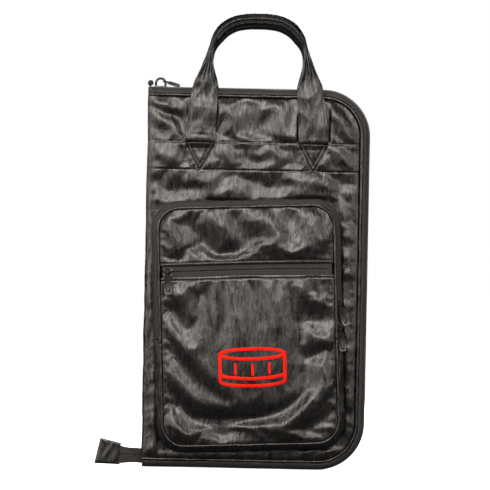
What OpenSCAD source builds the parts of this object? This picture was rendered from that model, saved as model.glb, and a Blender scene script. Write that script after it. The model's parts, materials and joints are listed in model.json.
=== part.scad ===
// Drum stick bag: two padded halves that open like a book about a folded spine,
// closed by one long zip, with carry handles and a zipped box pocket on the front.
// +X is to the right of the front, +Y is towards the back, +Z is up.
// The origin is under the middle of the closed bag, on its lowest face.

/* [Bag] */
// Width of the closed bag
bag_w = 275; // [240:5:320]
// Height of the closed bag without its handles
bag_h = 470; // [440:5:520]
// Depth of the closed bag
bag_d = 56; // [50:2:70]
// Outer radius of the two corners away from the spine
corner_r = 58; // [40:2:80]
// How far the edge of a leather face sits inside the outline
rim_inset = 12; // [11:1:16]
// Height of the seam under the carry band
band_z = 369; // [350:1:380]
// Height of the carry band that holds the strap ends
band_h = 33; // [24:1:40]

/* [Layers] */
// Thickness of the leather with its backing
leather_t = 2; // [1.6:0.1:2.4]
// Thickness of the foam behind the leather
foam_t = 4; // [2:0.5:5]
// Thickness of the lining fabric
lining_t = 1; // [0.6:0.1:1.2]
// Thickness of zip tape
tape_t = 0.8; // [0.6:0.1:0.9]
// Thickness of a zip coil
coil_t = 2.2; // [1.6:0.1:2.3]

/* [Front pocket] */
// Width of the pocket's face
pocket_w = 217; // [190:1:222]
// Height of the pocket's face
pocket_h = 293; // [280:1:300]
// How far the pocket stands out from the bag
pocket_d = 22; // [20:1:34]
// Corner radius of the pocket's face
pocket_r = 27; // [20:1:40]
// Sideways place of the pocket's centre
pocket_x = -8.4; // [-12:0.2:-4]
// Height of the pocket's centre
pocket_z = 177; // [174:1:184]
// Slant of the pocket on the bag, in degrees
pocket_tilt = 2.4; // [0:0.1:2.6]
// Height of the fold of the flap above the pocket's centre
fold_q = -13; // [-20:1:0]
// Height of the face zip above the pocket's centre
face_zip_q = 68; // [60:1:80]

/* [Handles] */
// Width of a strap where it is sewn on
strap_w = 37; // [30:1:42]
// Thickness of the doubled strap
strap_t = 3.4; // [2.6:0.2:3.6]
// Distance between the middles of the two sewn ends
strap_span = 140; // [130:1:150]
// Height of a handle's highest point
handle_top = 562; // [550:1:580]
// Radius of the grip
grip_r = 8.3; // [7.5:0.1:10]

/* [Hidden] */

$fn = 64;

// clearance between neighbouring layers
gap = 0.1;
half_d = bag_d / 2;
right_x = bag_w / 2;
// the two halves and the spine leave a strip free along each fold for it to bend
fold_gap = 4;
left_x = -bag_w / 2 + fold_gap;
// one zip lies in the middle of the depth, and this is half the gap between its two coils
coil_gap = 0.35;
coil_w = 2.85;
zip_half = 10.1;
// the outer face of the zip tape sits a little under the outline
tape_drop = 0.4;
piping_r = 1.8;
sleeve_t = 1;
seam_w = 0.2;

leather_black = [0.13, 0.125, 0.12];
tape_grey = [0.22, 0.21, 0.2];
foam_grey = [0.35, 0.35, 0.36];
lining_black = [0.07, 0.07, 0.075];
metal_black = [0.1, 0.1, 0.1];
thread_red = [1, 0.13, 0];

// ---------- shapes shared by the two halves ----------

// a plate with square left corners and round right corners, drawn in X and Z
module half_round_outline(x0, x1, z0, z1, r_low, r_high) {
    difference() {
        translate([x0, z0]) square([x1 - x0, z1 - z0]);
        if (r_low > 0) corner_cut(x1, z0, r_low, 1);
        if (r_high > 0) corner_cut(x1, z1, r_high, -1);
    }
}

// what is taken off a square corner at (x, z) to round it; up is 1 at a lower corner
module corner_cut(x, z, r, up) {
    difference() {
        translate([x - r, up > 0 ? z - 1 : z - r]) square([r + 1, r + 1]);
        translate([x - r, z + up * r]) circle(r);
    }
}

// turns a shape drawn in X and Z into a sheet from y0 towards the back
module sheet(y0, thick) {
    translate([0, y0 + thick, 0]) rotate([90, 0, 0]) linear_extrude(thick) children();
}

// sweeps a profile along the top, the right side and the bottom of the bag;
// its first axis points out of the bag from the outline, its second towards the back
module rim_sweep(x_left = left_x) {
    run = right_x - corner_r - x_left;
    translate([right_x, 0, corner_r]) linear_extrude(bag_h - 2 * corner_r) children();
    translate([right_x - corner_r, 0, bag_h]) rotate([0, -90, 0]) linear_extrude(run) children();
    translate([x_left, 0, 0]) rotate([0, 90, 0]) linear_extrude(run) children();
    translate([right_x - corner_r, 0, bag_h - corner_r]) rotate([-90, 0, 0])
        rotate([0, 0, -90]) rotate_extrude(angle = 90) translate([corner_r, 0]) children();
    translate([right_x - corner_r, 0, corner_r]) rotate([-90, 0, 0])
        rotate_extrude(angle = 90) translate([corner_r, 0]) children();
}

module front_side() {
    mirror([0, 1, 0]) children();
}

face_r = corner_r - rim_inset;

module half_panel() {
    sheet(half_d - leather_t, leather_t)
        half_round_outline(left_x, right_x - rim_inset, rim_inset, band_z - seam_w, face_r, 0);
}

module half_band() {
    sheet(half_d - leather_t, leather_t)
        translate([left_x, band_z]) square([right_x - rim_inset - left_x, band_h]);
}

module half_top_panel() {
    sheet(half_d - leather_t, leather_t)
        half_round_outline(left_x, right_x - rim_inset, band_z + band_h + seam_w,
                           bag_h - rim_inset, 0, face_r);
}

module inner_sheet(y0, thick, inset) {
    sheet(y0, thick)
        half_round_outline(left_x + 0.5, right_x - inset, inset, bag_h - inset,
                           corner_r - inset, corner_r - inset);
}

foam_y = half_d - leather_t - gap - foam_t;
lining_y = foam_y - gap - lining_t;

module half_padding() {
    inner_sheet(foam_y, foam_t, rim_inset + 3);
}

module half_lining() {
    inner_sheet(lining_y, lining_t, rim_inset + 3);
}

// a fabric sheet sewn to the lining along its sides, its foot and the lines between sleeves
sleeve_foot = 24;
stick_sleeve_top = 330;
tool_sleeve_top = 240;
sleeve_seam = 2;
module half_sleeves(top, count) {
    x0 = left_x + 13.5;
    x1 = right_x - 29.5;
    pitch = (x1 - x0) / count;
    deep = 0.6;
    y0 = lining_y - gap - deep - sleeve_t;
    tall = top - sleeve_foot;
    sheet(y0, sleeve_t) translate([x0, sleeve_foot]) square([x1 - x0, tall]);
    for (i = [0 : count])
        sheet(y0 + sleeve_t, deep)
            translate([x0 + i * pitch - (i > 0 ? sleeve_seam : 0), sleeve_foot])
                square([sleeve_seam, tall]);
    sheet(y0 + sleeve_t, deep) translate([x0, sleeve_foot]) square([x1 - x0, sleeve_seam]);
}

// outline of the gusset: round from the piping to the outline, then straight to the tape
gusset_turn = 13;
gusset_steps = 8;
function gusset_curve(u_r, v_r) = [
    for (i = [0 : gusset_steps])
        let (a = 90 * i / gusset_steps)
        [-8 + u_r * sin(a), gusset_turn + v_r * cos(a)]
];

module gusset_profile() {
    rise = half_d - 0.6 - gusset_turn;
    outer = gusset_curve(8, rise);
    inner = gusset_curve(8 - leather_t, rise - leather_t);
    polygon(concat(
        outer,
        [[0, zip_half + 0.2], [-leather_t, zip_half + 0.2]],
        [for (i = [gusset_steps : -1 : 0]) inner[i]]
    ));
}

module half_gusset() {
    rim_sweep() gusset_profile();
}

module half_piping() {
    rim_sweep() translate([-rim_inset + piping_r + 0.1, half_d - 1]) circle(piping_r, $fn = 32);
}

module half_zip_tape() {
    rim_sweep() translate([-tape_drop - tape_t, coil_gap + 0.1])
        square([tape_t, zip_half - coil_gap - 0.1]);
}

module half_zip_coil() {
    rim_sweep(left_x + 8) translate([-tape_drop - tape_t - gap - coil_t, coil_gap])
        square([coil_t, coil_w]);
}

// ---------- back half ----------

module back_panel() {
    color(leather_black) half_panel();
}

module back_carry_band() {
    color(leather_black) half_band();
}

module back_top_panel() {
    color(leather_black) half_top_panel();
}

module back_padding() {
    color(foam_grey) half_padding();
}

module back_lining() {
    color(lining_black) half_lining();
}

module back_stick_sleeves() {
    color(lining_black) half_sleeves(stick_sleeve_top, 5);
}

module back_gusset() {
    color(leather_black) half_gusset();
}

module back_piping() {
    color(leather_black) half_piping();
}

module back_zip_tape() {
    color(tape_grey) half_zip_tape();
}

module back_zip_coil() {
    color(tape_grey) half_zip_coil();
}

// the start of the tape, rolled over beside the parked slider
roll_r = 4.4;
module zip_start_fold() {
    color(tape_grey) translate([left_x - 1.5, 0, bag_h + 0.4 + roll_r]) rotate([90, 0, 0])
        difference() {
            cylinder(h = 15, r = roll_r, center = true);
            cylinder(h = 16, r = roll_r - 1.6, center = true);
        }
}

// ---------- spine ----------

spine_y = half_d - fold_gap + 0.5;
spine_foot = 7;
spine_pad_t = 0.8;
spine_lining_t = 0.5;
// how far the padding stops short of the spine's sides, and of the bag's top and foot
spine_pad_side = 6;
spine_pad_end = 14;

module spine_strip(depth, thick) {
    translate([-bag_w / 2 + depth, -spine_y + spine_pad_side, spine_pad_end])
        cube([thick, 2 * (spine_y - spine_pad_side), bag_h - 2 * spine_pad_end]);
}

module spine_panel() {
    color(leather_black) translate([-bag_w / 2, -spine_y, spine_foot])
        cube([leather_t, 2 * spine_y, bag_h - 1 - spine_foot]);
}

module spine_padding() {
    color(foam_grey) spine_strip(leather_t + gap, spine_pad_t);
}

module spine_lining() {
    color(lining_black) spine_strip(leather_t + 2 * gap + spine_pad_t, spine_lining_t);
}

// ---------- front half ----------

module front_panel() {
    color(leather_black) front_side() half_panel();
}

module front_carry_band() {
    color(leather_black) front_side() half_band();
}

module front_top_panel() {
    color(leather_black) front_side() half_top_panel();
}

module front_padding() {
    color(foam_grey) front_side() half_padding();
}

module front_lining() {
    color(lining_black) front_side() half_lining();
}

module front_tool_sleeves() {
    color(lining_black) front_side() half_sleeves(tool_sleeve_top, 3);
}

module front_gusset() {
    color(leather_black) front_side() half_gusset();
}

module front_piping() {
    color(leather_black) front_side() half_piping();
}

module front_zip_tape() {
    color(tape_grey) front_side() half_zip_tape();
}

module front_zip_coil() {
    color(tape_grey) front_side() half_zip_coil();
}

// ---------- pocket, drawn in its own slanted frame about the middle of its face ----------

face_y = -half_d - pocket_d;
fold_gap_q = 2.2;
pocket_piping_r = 1.6;
// the pocket zip runs half way up its wall
pocket_zip_v = 11;
flap_foot = fold_q + fold_gap_q;
fixed_top = fold_q - fold_gap_q;
face_slot = 13.6;
// the wall of the pocket starts this far in front of the bag, above the base gusset's fold
wall_foot = 3.4;
zip_side = 0.4;
tape_u = -0.6;
coil_u = -0.7 - coil_t;

module pocket_frame() {
    translate([pocket_x, 0, pocket_z]) rotate([0, -pocket_tilt, 0]) children();
}

// a rounded rectangle in X and Z about the pocket's centre, grown by e
module pocket_outline(e) {
    w = pocket_w + 2 * e;
    h = pocket_h + 2 * e;
    r = pocket_r + e;
    difference() {
        square([w, h], center = true);
        for (sx = [-1, 1], sz = [-1, 1])
            translate([sx * (w / 2 - r), sz * (h / 2 - r)]) difference() {
                translate([sx > 0 ? 0 : -r - 1, sz > 0 ? 0 : -r - 1]) square(r + 1);
                circle(r);
            }
    }
}

// sweeps a profile round the pocket; its first axis points out from the face's outline,
// its second forwards from the bag's front
module pocket_sweep() {
    run_w = pocket_w - 2 * pocket_r;
    run_h = pocket_h - 2 * pocket_r;
    translate([0, -half_d, 0]) mirror([0, 1, 0]) for (s = [0, 1]) rotate([0, 180 * s, 0]) {
        translate([pocket_w / 2, 0, -run_h / 2]) linear_extrude(run_h) children();
        translate([run_w / 2, 0, pocket_h / 2]) rotate([0, -90, 0]) linear_extrude(run_w) children();
        for (up = [0, 1])
            translate([(up > 0 ? 1 : -1) * run_w / 2, 0, run_h / 2]) rotate([-90, 0, 0])
                rotate([0, 0, up > 0 ? -90 : -180]) rotate_extrude(angle = 90)
                    translate([pocket_r, 0]) children();
    }
}

// keeps what is above or below a height in the pocket's frame
module above(q) {
    intersection() {
        children();
        translate([-bag_w, -bag_w, q]) cube(2 * bag_w);
    }
}

module below(q) {
    intersection() {
        children();
        translate([-bag_w, -bag_w, q - 2 * bag_w]) cube(2 * bag_w);
    }
}

module pocket_face_sheet() {
    sheet(face_y, leather_t) pocket_outline(-pocket_piping_r - 0.2);
}

module pocket_base_gusset() {
    color(leather_black) pocket_frame() pocket_sweep()
        polygon([[6.6, gap], [8.6, gap], [2.4, 6.4], [0.5, 6.4]]);
}

module pocket_lower_gusset() {
    color(leather_black) pocket_frame() below(fixed_top) pocket_sweep()
        translate([-1.4, wall_foot]) square([1.6, pocket_d - wall_foot - 2.8]);
}

module pocket_lower_face() {
    color(leather_black) pocket_frame() below(fixed_top) pocket_face_sheet();
}

module pocket_piping_ring() {
    pocket_sweep() translate([0, pocket_d - 1.1]) circle(pocket_piping_r, $fn = 32);
}

module pocket_lower_piping() {
    color(leather_black) pocket_frame() below(fixed_top) pocket_piping_ring();
}

module pocket_inner_tape() {
    color(tape_grey) pocket_frame() above(flap_foot) pocket_sweep()
        translate([tape_u, wall_foot]) square([tape_t, pocket_zip_v - zip_side - wall_foot]);
}

module pocket_inner_coil() {
    color(tape_grey) pocket_frame() above(flap_foot) pocket_sweep()
        translate([coil_u, pocket_zip_v - zip_side - coil_w]) square([coil_t, coil_w]);
}

// a small staple behind each end of the pocket zip, on the side of the bag
module pocket_zip_stops() {
    color(metal_black) pocket_frame() for (side = [-1, 1])
        translate([side * (pocket_w / 2 - 2.3), -half_d - pocket_zip_v + 3, fold_q - 4])
            cube([1.6, 5, 1.8], center = true);
}

// a plain drum seen from the side, embroidered under the fold of the flap
emblem_w = 84;
emblem_h = 50;
emblem_q = -51;
emblem_p = 4;
emblem_line = 4.4;

function oval(w, h, steps = 48) = [
    for (i = [0 : steps - 1]) [w / 2 * cos(360 * i / steps), h / 2 * sin(360 * i / steps)]
];

module oval_ring(w, h, line) {
    difference() {
        polygon(oval(w, h));
        polygon(oval(w - 2 * line, h - 2 * line));
    }
}

module emblem_outline() {
    drum_oval = 17;
    top = emblem_h / 2 - drum_oval / 2;
    foot = -top;
    translate([0, top]) oval_ring(emblem_w, drum_oval, emblem_line);
    for (side = [-1, 1])
        translate([side * (emblem_w - emblem_line) / 2, 0])
            square([emblem_line, 2 * top], center = true);
    for (level = [foot, foot + 9])
        translate([0, level]) difference() {
            oval_ring(emblem_w, drum_oval, emblem_line);
            translate([-emblem_w / 2 - 1, 0]) square([emblem_w + 2, drum_oval]);
        }
    for (i = [-1 : 1])
        translate([i * emblem_w / 4, (foot + 9 + top) / 2 - 7.6 + 1.4 * abs(i)])
            square([emblem_line * 0.8, 14], center = true);
}

module emblem() {
    color(thread_red) pocket_frame() translate([emblem_p, 0, emblem_q])
        sheet(face_y - gap - 0.8, 0.8) emblem_outline();
}

// ---------- flap of the pocket ----------

module flap_upper_face() {
    color(leather_black) pocket_frame() above(face_zip_q + face_slot / 2) pocket_face_sheet();
}

module flap_lower_face() {
    color(leather_black) pocket_frame()
        above(flap_foot) below(face_zip_q - face_slot / 2) pocket_face_sheet();
}

module flap_piping() {
    color(leather_black) pocket_frame() above(flap_foot) pocket_piping_ring();
}

module flap_zip_tape() {
    color(tape_grey) pocket_frame() above(flap_foot) pocket_sweep()
        translate([tape_u, pocket_zip_v + zip_side])
            square([tape_t, pocket_d - 2.9 - pocket_zip_v - zip_side]);
}

module flap_zip_coil() {
    color(tape_grey) pocket_frame() above(flap_foot) pocket_sweep()
        translate([coil_u, pocket_zip_v + zip_side]) square([coil_t, coil_w]);
}

// the face zip lies behind a slot in the face, with its coil on the inside
face_zip_half = pocket_w / 2 - 4;
face_tape_y = face_y + leather_t + gap;

module face_zip_strips(y0, thick, from, wide, half_long) {
    pocket_frame() for (s = [-1, 1])
        sheet(y0, thick) translate([-half_long, face_zip_q + (s > 0 ? from : -from - wide)])
            square([2 * half_long, wide]);
}

module face_zip_tapes() {
    color(tape_grey) face_zip_strips(face_tape_y, tape_t, coil_gap + 0.1, 9, face_zip_half);
}

module face_zip_coils() {
    color(tape_grey)
        face_zip_strips(face_tape_y + tape_t + gap, coil_t, coil_gap, coil_w, face_zip_half - 4);
}

module face_zip_stops() {
    color(metal_black) pocket_frame() for (side = [-1, 1])
        translate([side * (face_zip_half - 2), face_tape_y + tape_t + gap + coil_t / 2, face_zip_q])
            cube([2, coil_t, 7], center = true);
}

module face_zip_pouch() {
    color(lining_black) pocket_frame()
        sheet(face_tape_y + tape_t + coil_t + 2.8, lining_t)
            translate([-pocket_w / 2 + 6, flap_foot + 2]) square([pocket_w - 12, 94]);
}

// ---------- free end of the main zip ----------

tail_x = -bag_w / 2 - 2;
tail_root_z = 3;

module zip_tail_tape() {
    color(tape_grey) sheet(-tape_t / 2, tape_t)
        polygon([[tail_x, tail_root_z], [tail_x, 21], [tail_x - 27, 25], [tail_x - 30, 3]]);
}

module zip_tail_tab() {
    color(leather_black) difference() {
        sheet(-2.6, 5.2) polygon([[tail_x - 25, 0.6], [tail_x - 24, 28],
                                  [tail_x - 50, 34], [tail_x - 57, 1.4]]);
        sheet(-tape_t / 2 - gap, tape_t + 2 * gap)
            polygon([[tail_x - 23, -1], [tail_x - 23, 35], [tail_x - 31, 35], [tail_x - 31, -1]]);
    }
}

// ---------- handles ----------

handle_x = -2.5;
strap_y = half_d + 2;
grip_bend = 30;
grip_half = 59;
neck_w = 11;
neck_z = 500;
wall_t = 2.6;

// one leg of the strap, flat where it is sewn on and drawn in to a neck
module strap_leg(side) {
    foot = side * strap_span / 2;
    hip = side * (strap_span / 2 - 5);
    neck = side * grip_half;
    seat = band_z + band_h + 2;
    sheet(strap_y, strap_t) polygon([
        [foot - strap_w / 2, seat], [hip - strap_w / 2 + 1.5, neck_z - 24],
        [neck - neck_w / 2, neck_z - 2], [neck - neck_w / 2, neck_z + 4],
        [neck + neck_w / 2, neck_z + 4], [neck + neck_w / 2, neck_z - 2],
        [hip + strap_w / 2 - 1.5, neck_z - 24], [foot + strap_w / 2, seat]
    ]);
}

// the grip as a tube of radius r about the arch's centre line
module grip_arch(r) {
    bend_z = handle_top - grip_r - grip_bend;
    for (side = [-1, 1])
        translate([side * (grip_half - grip_bend), 0, bend_z]) rotate([90, 0, 0])
            rotate([0, 0, side > 0 ? 0 : 90]) rotate_extrude(angle = 90)
                translate([grip_bend, 0]) circle(r, $fn = 40);
    translate([0, 0, bend_z + grip_bend]) rotate([0, 90, 0])
        cylinder(h = 2 * (grip_half - grip_bend), r = r, center = true);
}

module handle_strap() {
    bend_z = handle_top - grip_r - grip_bend;
    for (side = [-1, 1]) strap_leg(side);
    translate([0, strap_y + strap_t / 2, 0]) difference() {
        union() {
            grip_arch(grip_r);
            for (side = [-1, 1])
                translate([side * grip_half, 0, neck_z])
                    cylinder(h = bend_z - neck_z, r1 = neck_w / 2, r2 = grip_r);
        }
        grip_arch(grip_r - wall_t);
    }
}

module grip_cord() {
    translate([0, strap_y + strap_t / 2, 0]) grip_arch(grip_r - wall_t - 0.1);
}

module front_handle_strap() {
    color(leather_black) front_side() translate([handle_x, 0, 0]) handle_strap();
}

module front_grip_cord() {
    color(foam_grey) front_side() translate([handle_x, 0, 0]) grip_cord();
}

module rear_handle_strap() {
    color(leather_black) translate([handle_x, 0, 0]) handle_strap();
}

module rear_grip_cord() {
    color(foam_grey) translate([handle_x, 0, 0]) grip_cord();
}

// ---------- sliders and pulls ----------
// A slider runs along +X with the tape's outer face at z = 0 and its bridge above.
// Its size is [length, width, bridge radius, bridge height, bar radius].

main_size = [14, 12, 5.9, 5.3, 1.5];
small_size = [11, 9, 3.4, 3.4, 0.9];
channel_top = 0.25;
channel_foot = -tape_t - gap - coil_t - 0.25;
plate_t = 1.5;

module slider_plate(size, z0) {
    round_r = 2.2;
    translate([0, 0, z0]) linear_extrude(plate_t) union() {
        square([size[0], size[1] - 2 * round_r], center = true);
        square([size[0] - 2 * round_r, size[1]], center = true);
        for (sx = [-1, 1], sy = [-1, 1])
            translate([sx * (size[0] / 2 - round_r), sy * (size[1] / 2 - round_r)])
                circle(round_r, $fn = 32);
    }
}

module zip_slider(size) {
    r = size[2];
    slider_plate(size, channel_top);
    slider_plate(size, channel_foot - plate_t);
    translate([size[0] / 2 - 4, -0.25, channel_foot - plate_t])
        cube([3, 0.5, channel_top - channel_foot + 2 * plate_t]);
    for (side = [-1, 1])
        translate([side * r, 0, channel_top + 0.5])
            cylinder(h = size[3] - channel_top - 0.5, r = size[4]);
    translate([0, 0, size[3]]) rotate([90, 0, 0]) rotate_extrude(angle = 180)
        translate([r, 0]) circle(size[4], $fn = 32);
}

// the eye of a pull, a ring round the bridge's bar, with its axis along +Z
eye_r = 2.6;
eye_wire = 0.8;
module pull_eye() {
    rotate_extrude() translate([eye_r, 0]) circle(eye_wire, $fn = 32);
}

// the tab of a pull, drawn along +X from the eye with its face towards +Z
module pull_tab(long, wide) {
    neck = 3.2;
    thick = 1.6;
    round_r = 2;
    difference() {
        translate([0, 0, -thick / 2]) linear_extrude(thick) union() {
            polygon([[eye_r, -neck / 2], [eye_r, neck / 2], [eye_r + 4, wide / 2],
                     [long - round_r, wide / 2], [long - round_r, -wide / 2],
                     [eye_r + 4, -wide / 2]]);
            translate([long - round_r - 0.5, 0]) square([2 * round_r + 1, wide - 2 * round_r], center = true);
            for (side = [-1, 1])
                translate([long - round_r, side * (wide / 2 - round_r)]) circle(round_r, $fn = 32);
        }
        for (side = [-1, 1])
            translate([eye_r + 5.5, -wide / 2 + 1.2, side * thick / 2 - 0.35])
                cube([long - eye_r - 7, wide - 2.4, 0.7]);
        translate([long - 4, 0, 0]) cylinder(h = 4, r = 1, center = true, $fn = 32);
    }
}

// a pull whose eye slides over the bridge about its centre; at and slope are angles in XZ
module riding_pull(size, at, slope, long, wide, twist) {
    eye_at = (at + slope) / 2;
    translate([size[2] * cos(at), 0, size[3] + size[2] * sin(at)]) {
        rotate([0, -eye_at, 0]) pull_eye();
        rotate([0, -slope, 0]) rotate([twist, 0, 0]) pull_tab(long, wide);
    }
}

// a pull that hangs from the top of the bridge towards -Y and swings about the bar
module hanging_pull(size, long, wide) {
    translate([0, 0, size[2] + size[3]]) {
        rotate([0, 90, 0]) pull_eye();
        rotate([3, 0, 0]) rotate([0, 0, -90]) pull_tab(long, wide);
    }
}

main_slider_x = -123;
module main_zip_place() {
    translate([main_slider_x, 0, bag_h - tape_drop]) children();
}

module main_slider() {
    color(metal_black) main_zip_place() zip_slider(main_size);
}

module main_pull() {
    color(metal_black) main_zip_place() riding_pull(main_size, 20, -16, 19, 8, 25);
}

// the two pocket sliders meet on the right wall, and their pulls hang down
upper_q = 27;
lower_q = -4;
module pocket_zip_place(q) {
    pocket_frame() translate([pocket_w / 2 + 0.2, -half_d - pocket_zip_v, q])
        rotate([180, -90, 0]) children();
}

module pocket_upper_slider() {
    color(metal_black) pocket_zip_place(upper_q) zip_slider(small_size);
}

module pocket_upper_pull() {
    color(metal_black) pocket_zip_place(upper_q) riding_pull(small_size, 160, 163, 27, 8, 90);
}

module pocket_lower_slider() {
    color(metal_black) pocket_zip_place(lower_q) zip_slider(small_size);
}

module pocket_lower_pull() {
    color(metal_black) pocket_zip_place(lower_q) riding_pull(small_size, 160, 174, 27, 8, 90);
}

face_slider_p = -pocket_w / 2 + 11;
module face_zip_place() {
    pocket_frame() translate([face_slider_p, face_tape_y, face_zip_q]) rotate([90, 0, 0]) children();
}

module face_slider() {
    color(metal_black) face_zip_place() zip_slider(small_size);
}

module face_pull() {
    color(metal_black) face_zip_place() hanging_pull(small_size, 27, 8.6);
}

back_panel();
back_carry_band();
back_top_panel();
back_padding();
back_lining();
back_stick_sleeves();
back_gusset();
back_piping();
back_zip_tape();
back_zip_coil();
zip_start_fold();
spine_panel();
spine_padding();
spine_lining();
front_panel();
front_carry_band();
front_top_panel();
front_padding();
front_lining();
front_tool_sleeves();
front_gusset();
front_piping();
front_zip_tape();
front_zip_coil();
pocket_base_gusset();
pocket_lower_gusset();
pocket_lower_face();
pocket_lower_piping();
pocket_inner_tape();
pocket_inner_coil();
pocket_zip_stops();
emblem();
flap_upper_face();
flap_lower_face();
flap_piping();
flap_zip_tape();
flap_zip_coil();
face_zip_tapes();
face_zip_coils();
face_zip_stops();
face_zip_pouch();
zip_tail_tape();
zip_tail_tab();
front_handle_strap();
front_grip_cord();
rear_handle_strap();
rear_grip_cord();
main_slider();
main_pull();
pocket_upper_slider();
pocket_upper_pull();
pocket_lower_slider();
pocket_lower_pull();
face_slider();
face_pull();
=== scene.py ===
"""Drum stick bag: glossy creased leather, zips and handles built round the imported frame.

Lengths in this script are millimetres; MM turns them into Blender's metres.
"""

import json
import math

import bpy
import numpy as np
from mathutils import Matrix, Vector


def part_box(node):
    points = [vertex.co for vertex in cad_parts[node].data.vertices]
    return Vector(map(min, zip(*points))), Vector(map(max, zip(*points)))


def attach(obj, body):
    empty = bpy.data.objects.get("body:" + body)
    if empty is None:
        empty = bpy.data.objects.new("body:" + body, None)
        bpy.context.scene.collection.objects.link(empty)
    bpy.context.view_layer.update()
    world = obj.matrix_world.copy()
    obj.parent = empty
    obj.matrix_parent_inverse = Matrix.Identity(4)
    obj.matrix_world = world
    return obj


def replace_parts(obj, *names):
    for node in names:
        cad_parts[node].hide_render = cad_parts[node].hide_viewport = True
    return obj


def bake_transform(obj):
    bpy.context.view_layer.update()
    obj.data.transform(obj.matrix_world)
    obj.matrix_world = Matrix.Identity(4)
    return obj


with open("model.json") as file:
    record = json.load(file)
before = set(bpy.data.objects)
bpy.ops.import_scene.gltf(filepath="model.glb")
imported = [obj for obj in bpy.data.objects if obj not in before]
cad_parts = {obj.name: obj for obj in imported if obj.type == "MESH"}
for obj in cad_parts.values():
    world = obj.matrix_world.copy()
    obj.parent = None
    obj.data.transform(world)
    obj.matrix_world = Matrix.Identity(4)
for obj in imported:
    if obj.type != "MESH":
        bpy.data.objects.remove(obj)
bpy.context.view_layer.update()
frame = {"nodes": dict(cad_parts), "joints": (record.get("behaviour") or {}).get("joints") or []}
MM = 0.001


# ---------- sizes taken from the frame ----------

def node_box(node):
    low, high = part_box(node)
    return np.array(low) / MM, np.array(high) / MM


def joint(name):
    return next(j for j in frame["joints"] if j["name"] == name)


gusset_low, gusset_high = node_box("front_gusset")
panel_low, panel_high = node_box("front_panel")
band_low, band_high = node_box("front_carry_band")
spine_low, spine_high = node_box("spine_panel")
RIGHT, TOP, FOOT = gusset_high[0], gusset_high[2], gusset_low[2]
LEFT = panel_low[0]
HALF_D = -panel_low[1]
RIM = RIGHT - panel_high[0]
CORNER = 58.0
SPINE_X = spine_low[0]
BAND_LOW, BAND_HIGH = band_low[2], band_high[2]
TAPE_DROP = 0.4
ZIP_HALF = 10.1

fold = joint("pocket_flap_fold")
FOLD_Q = -13.0
FOLD_AXIS = np.array(fold["axis"])
POCKET_UP = np.array([-FOLD_AXIS[2], 0, FOLD_AXIS[0]])
POCKET_CENTRE = np.array(fold["pos_m"]) / MM - FOLD_Q * POCKET_UP
POCKET_CENTRE[1] = 0
POCKET_W, POCKET_H, POCKET_R = 217.0, 293.0, 27.0
POCKET_FACE_Y = node_box("flap_upper_face")[0][1]
POCKET_D = -HALF_D - POCKET_FACE_Y
POCKET_ZIP_V = 11.0
FACE_ZIP_Q = 68.0
FACE_SLOT = 13.6

strap_low, strap_high = node_box("front_handle_strap")
STRAP_SEAT = strap_low[2]
HANDLE_TOP = strap_high[2]
GRIP_R = (strap_high[1] - strap_low[1]) / 2
HANDLE_X = (strap_low[0] + strap_high[0]) / 2
HANDLE_Y = -(strap_high[1] + strap_low[1]) / 2
STRAP_SPAN = 140.0
STRAP_W = 37.0


def pocket_point(p, v, q):
    """Points of the pocket's slanted frame, v forwards from the bag's front, in the row frame."""
    p, v, q = np.broadcast_arrays(np.asarray(p, float), v, q)
    out = POCKET_CENTRE + p[..., None] * FOLD_AXIS + q[..., None] * POCKET_UP
    out[..., 1] = -HALF_D - v
    return out


# ---------- smooth seeded noise ----------

def noise(x, y, seed):
    """Value noise between -1 and 1 with one lattice step per unit."""
    size = 128
    lattice = np.random.RandomState(seed).rand(size, size) * 2 - 1
    xi, yi = np.floor(x).astype(int), np.floor(y).astype(int)
    fx, fy = x - xi, y - yi
    fx, fy = fx * fx * (3 - 2 * fx), fy * fy * (3 - 2 * fy)
    a = lattice[xi % size, yi % size]
    b = lattice[(xi + 1) % size, yi % size]
    c = lattice[xi % size, (yi + 1) % size]
    d = lattice[(xi + 1) % size, (yi + 1) % size]
    return (a * (1 - fx) + b * fx) * (1 - fy) + (c * (1 - fx) + d * fx) * fy


def crumple(x, y, seed, wide, long, lean=0.0):
    """Leaning folds about wide across and long along, from -1 to 1, with sharp crests."""
    u = x * math.cos(lean) + y * math.sin(lean)
    w = -x * math.sin(lean) + y * math.cos(lean)
    u = u + wide * 0.6 * noise(u / wide / 2, w / long / 1.3, seed + 7)
    value = noise(u / wide, w / long, seed)
    return 1 - 2 * np.abs(value) ** 0.8


def strokes(x, z, marks):
    """Sum of folds, each (x0, z0, x1, z1, width, height) with a rounded crest and soft ends."""
    total = np.zeros_like(x)
    for x0, z0, x1, z1, width, height in marks:
        dx, dz = x1 - x0, z1 - z0
        t = np.clip(((x - x0) * dx + (z - z0) * dz) / (dx * dx + dz * dz), 0, 1)
        gap = np.hypot(x - x0 - t * dx, z - z0 - t * dz)
        total = total + height * np.exp(-(gap / width) ** 2)
    return total


def valley(distance, width, depth):
    return -depth * np.exp(-(distance / width) ** 2)


# ---------- meshes ----------

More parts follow.
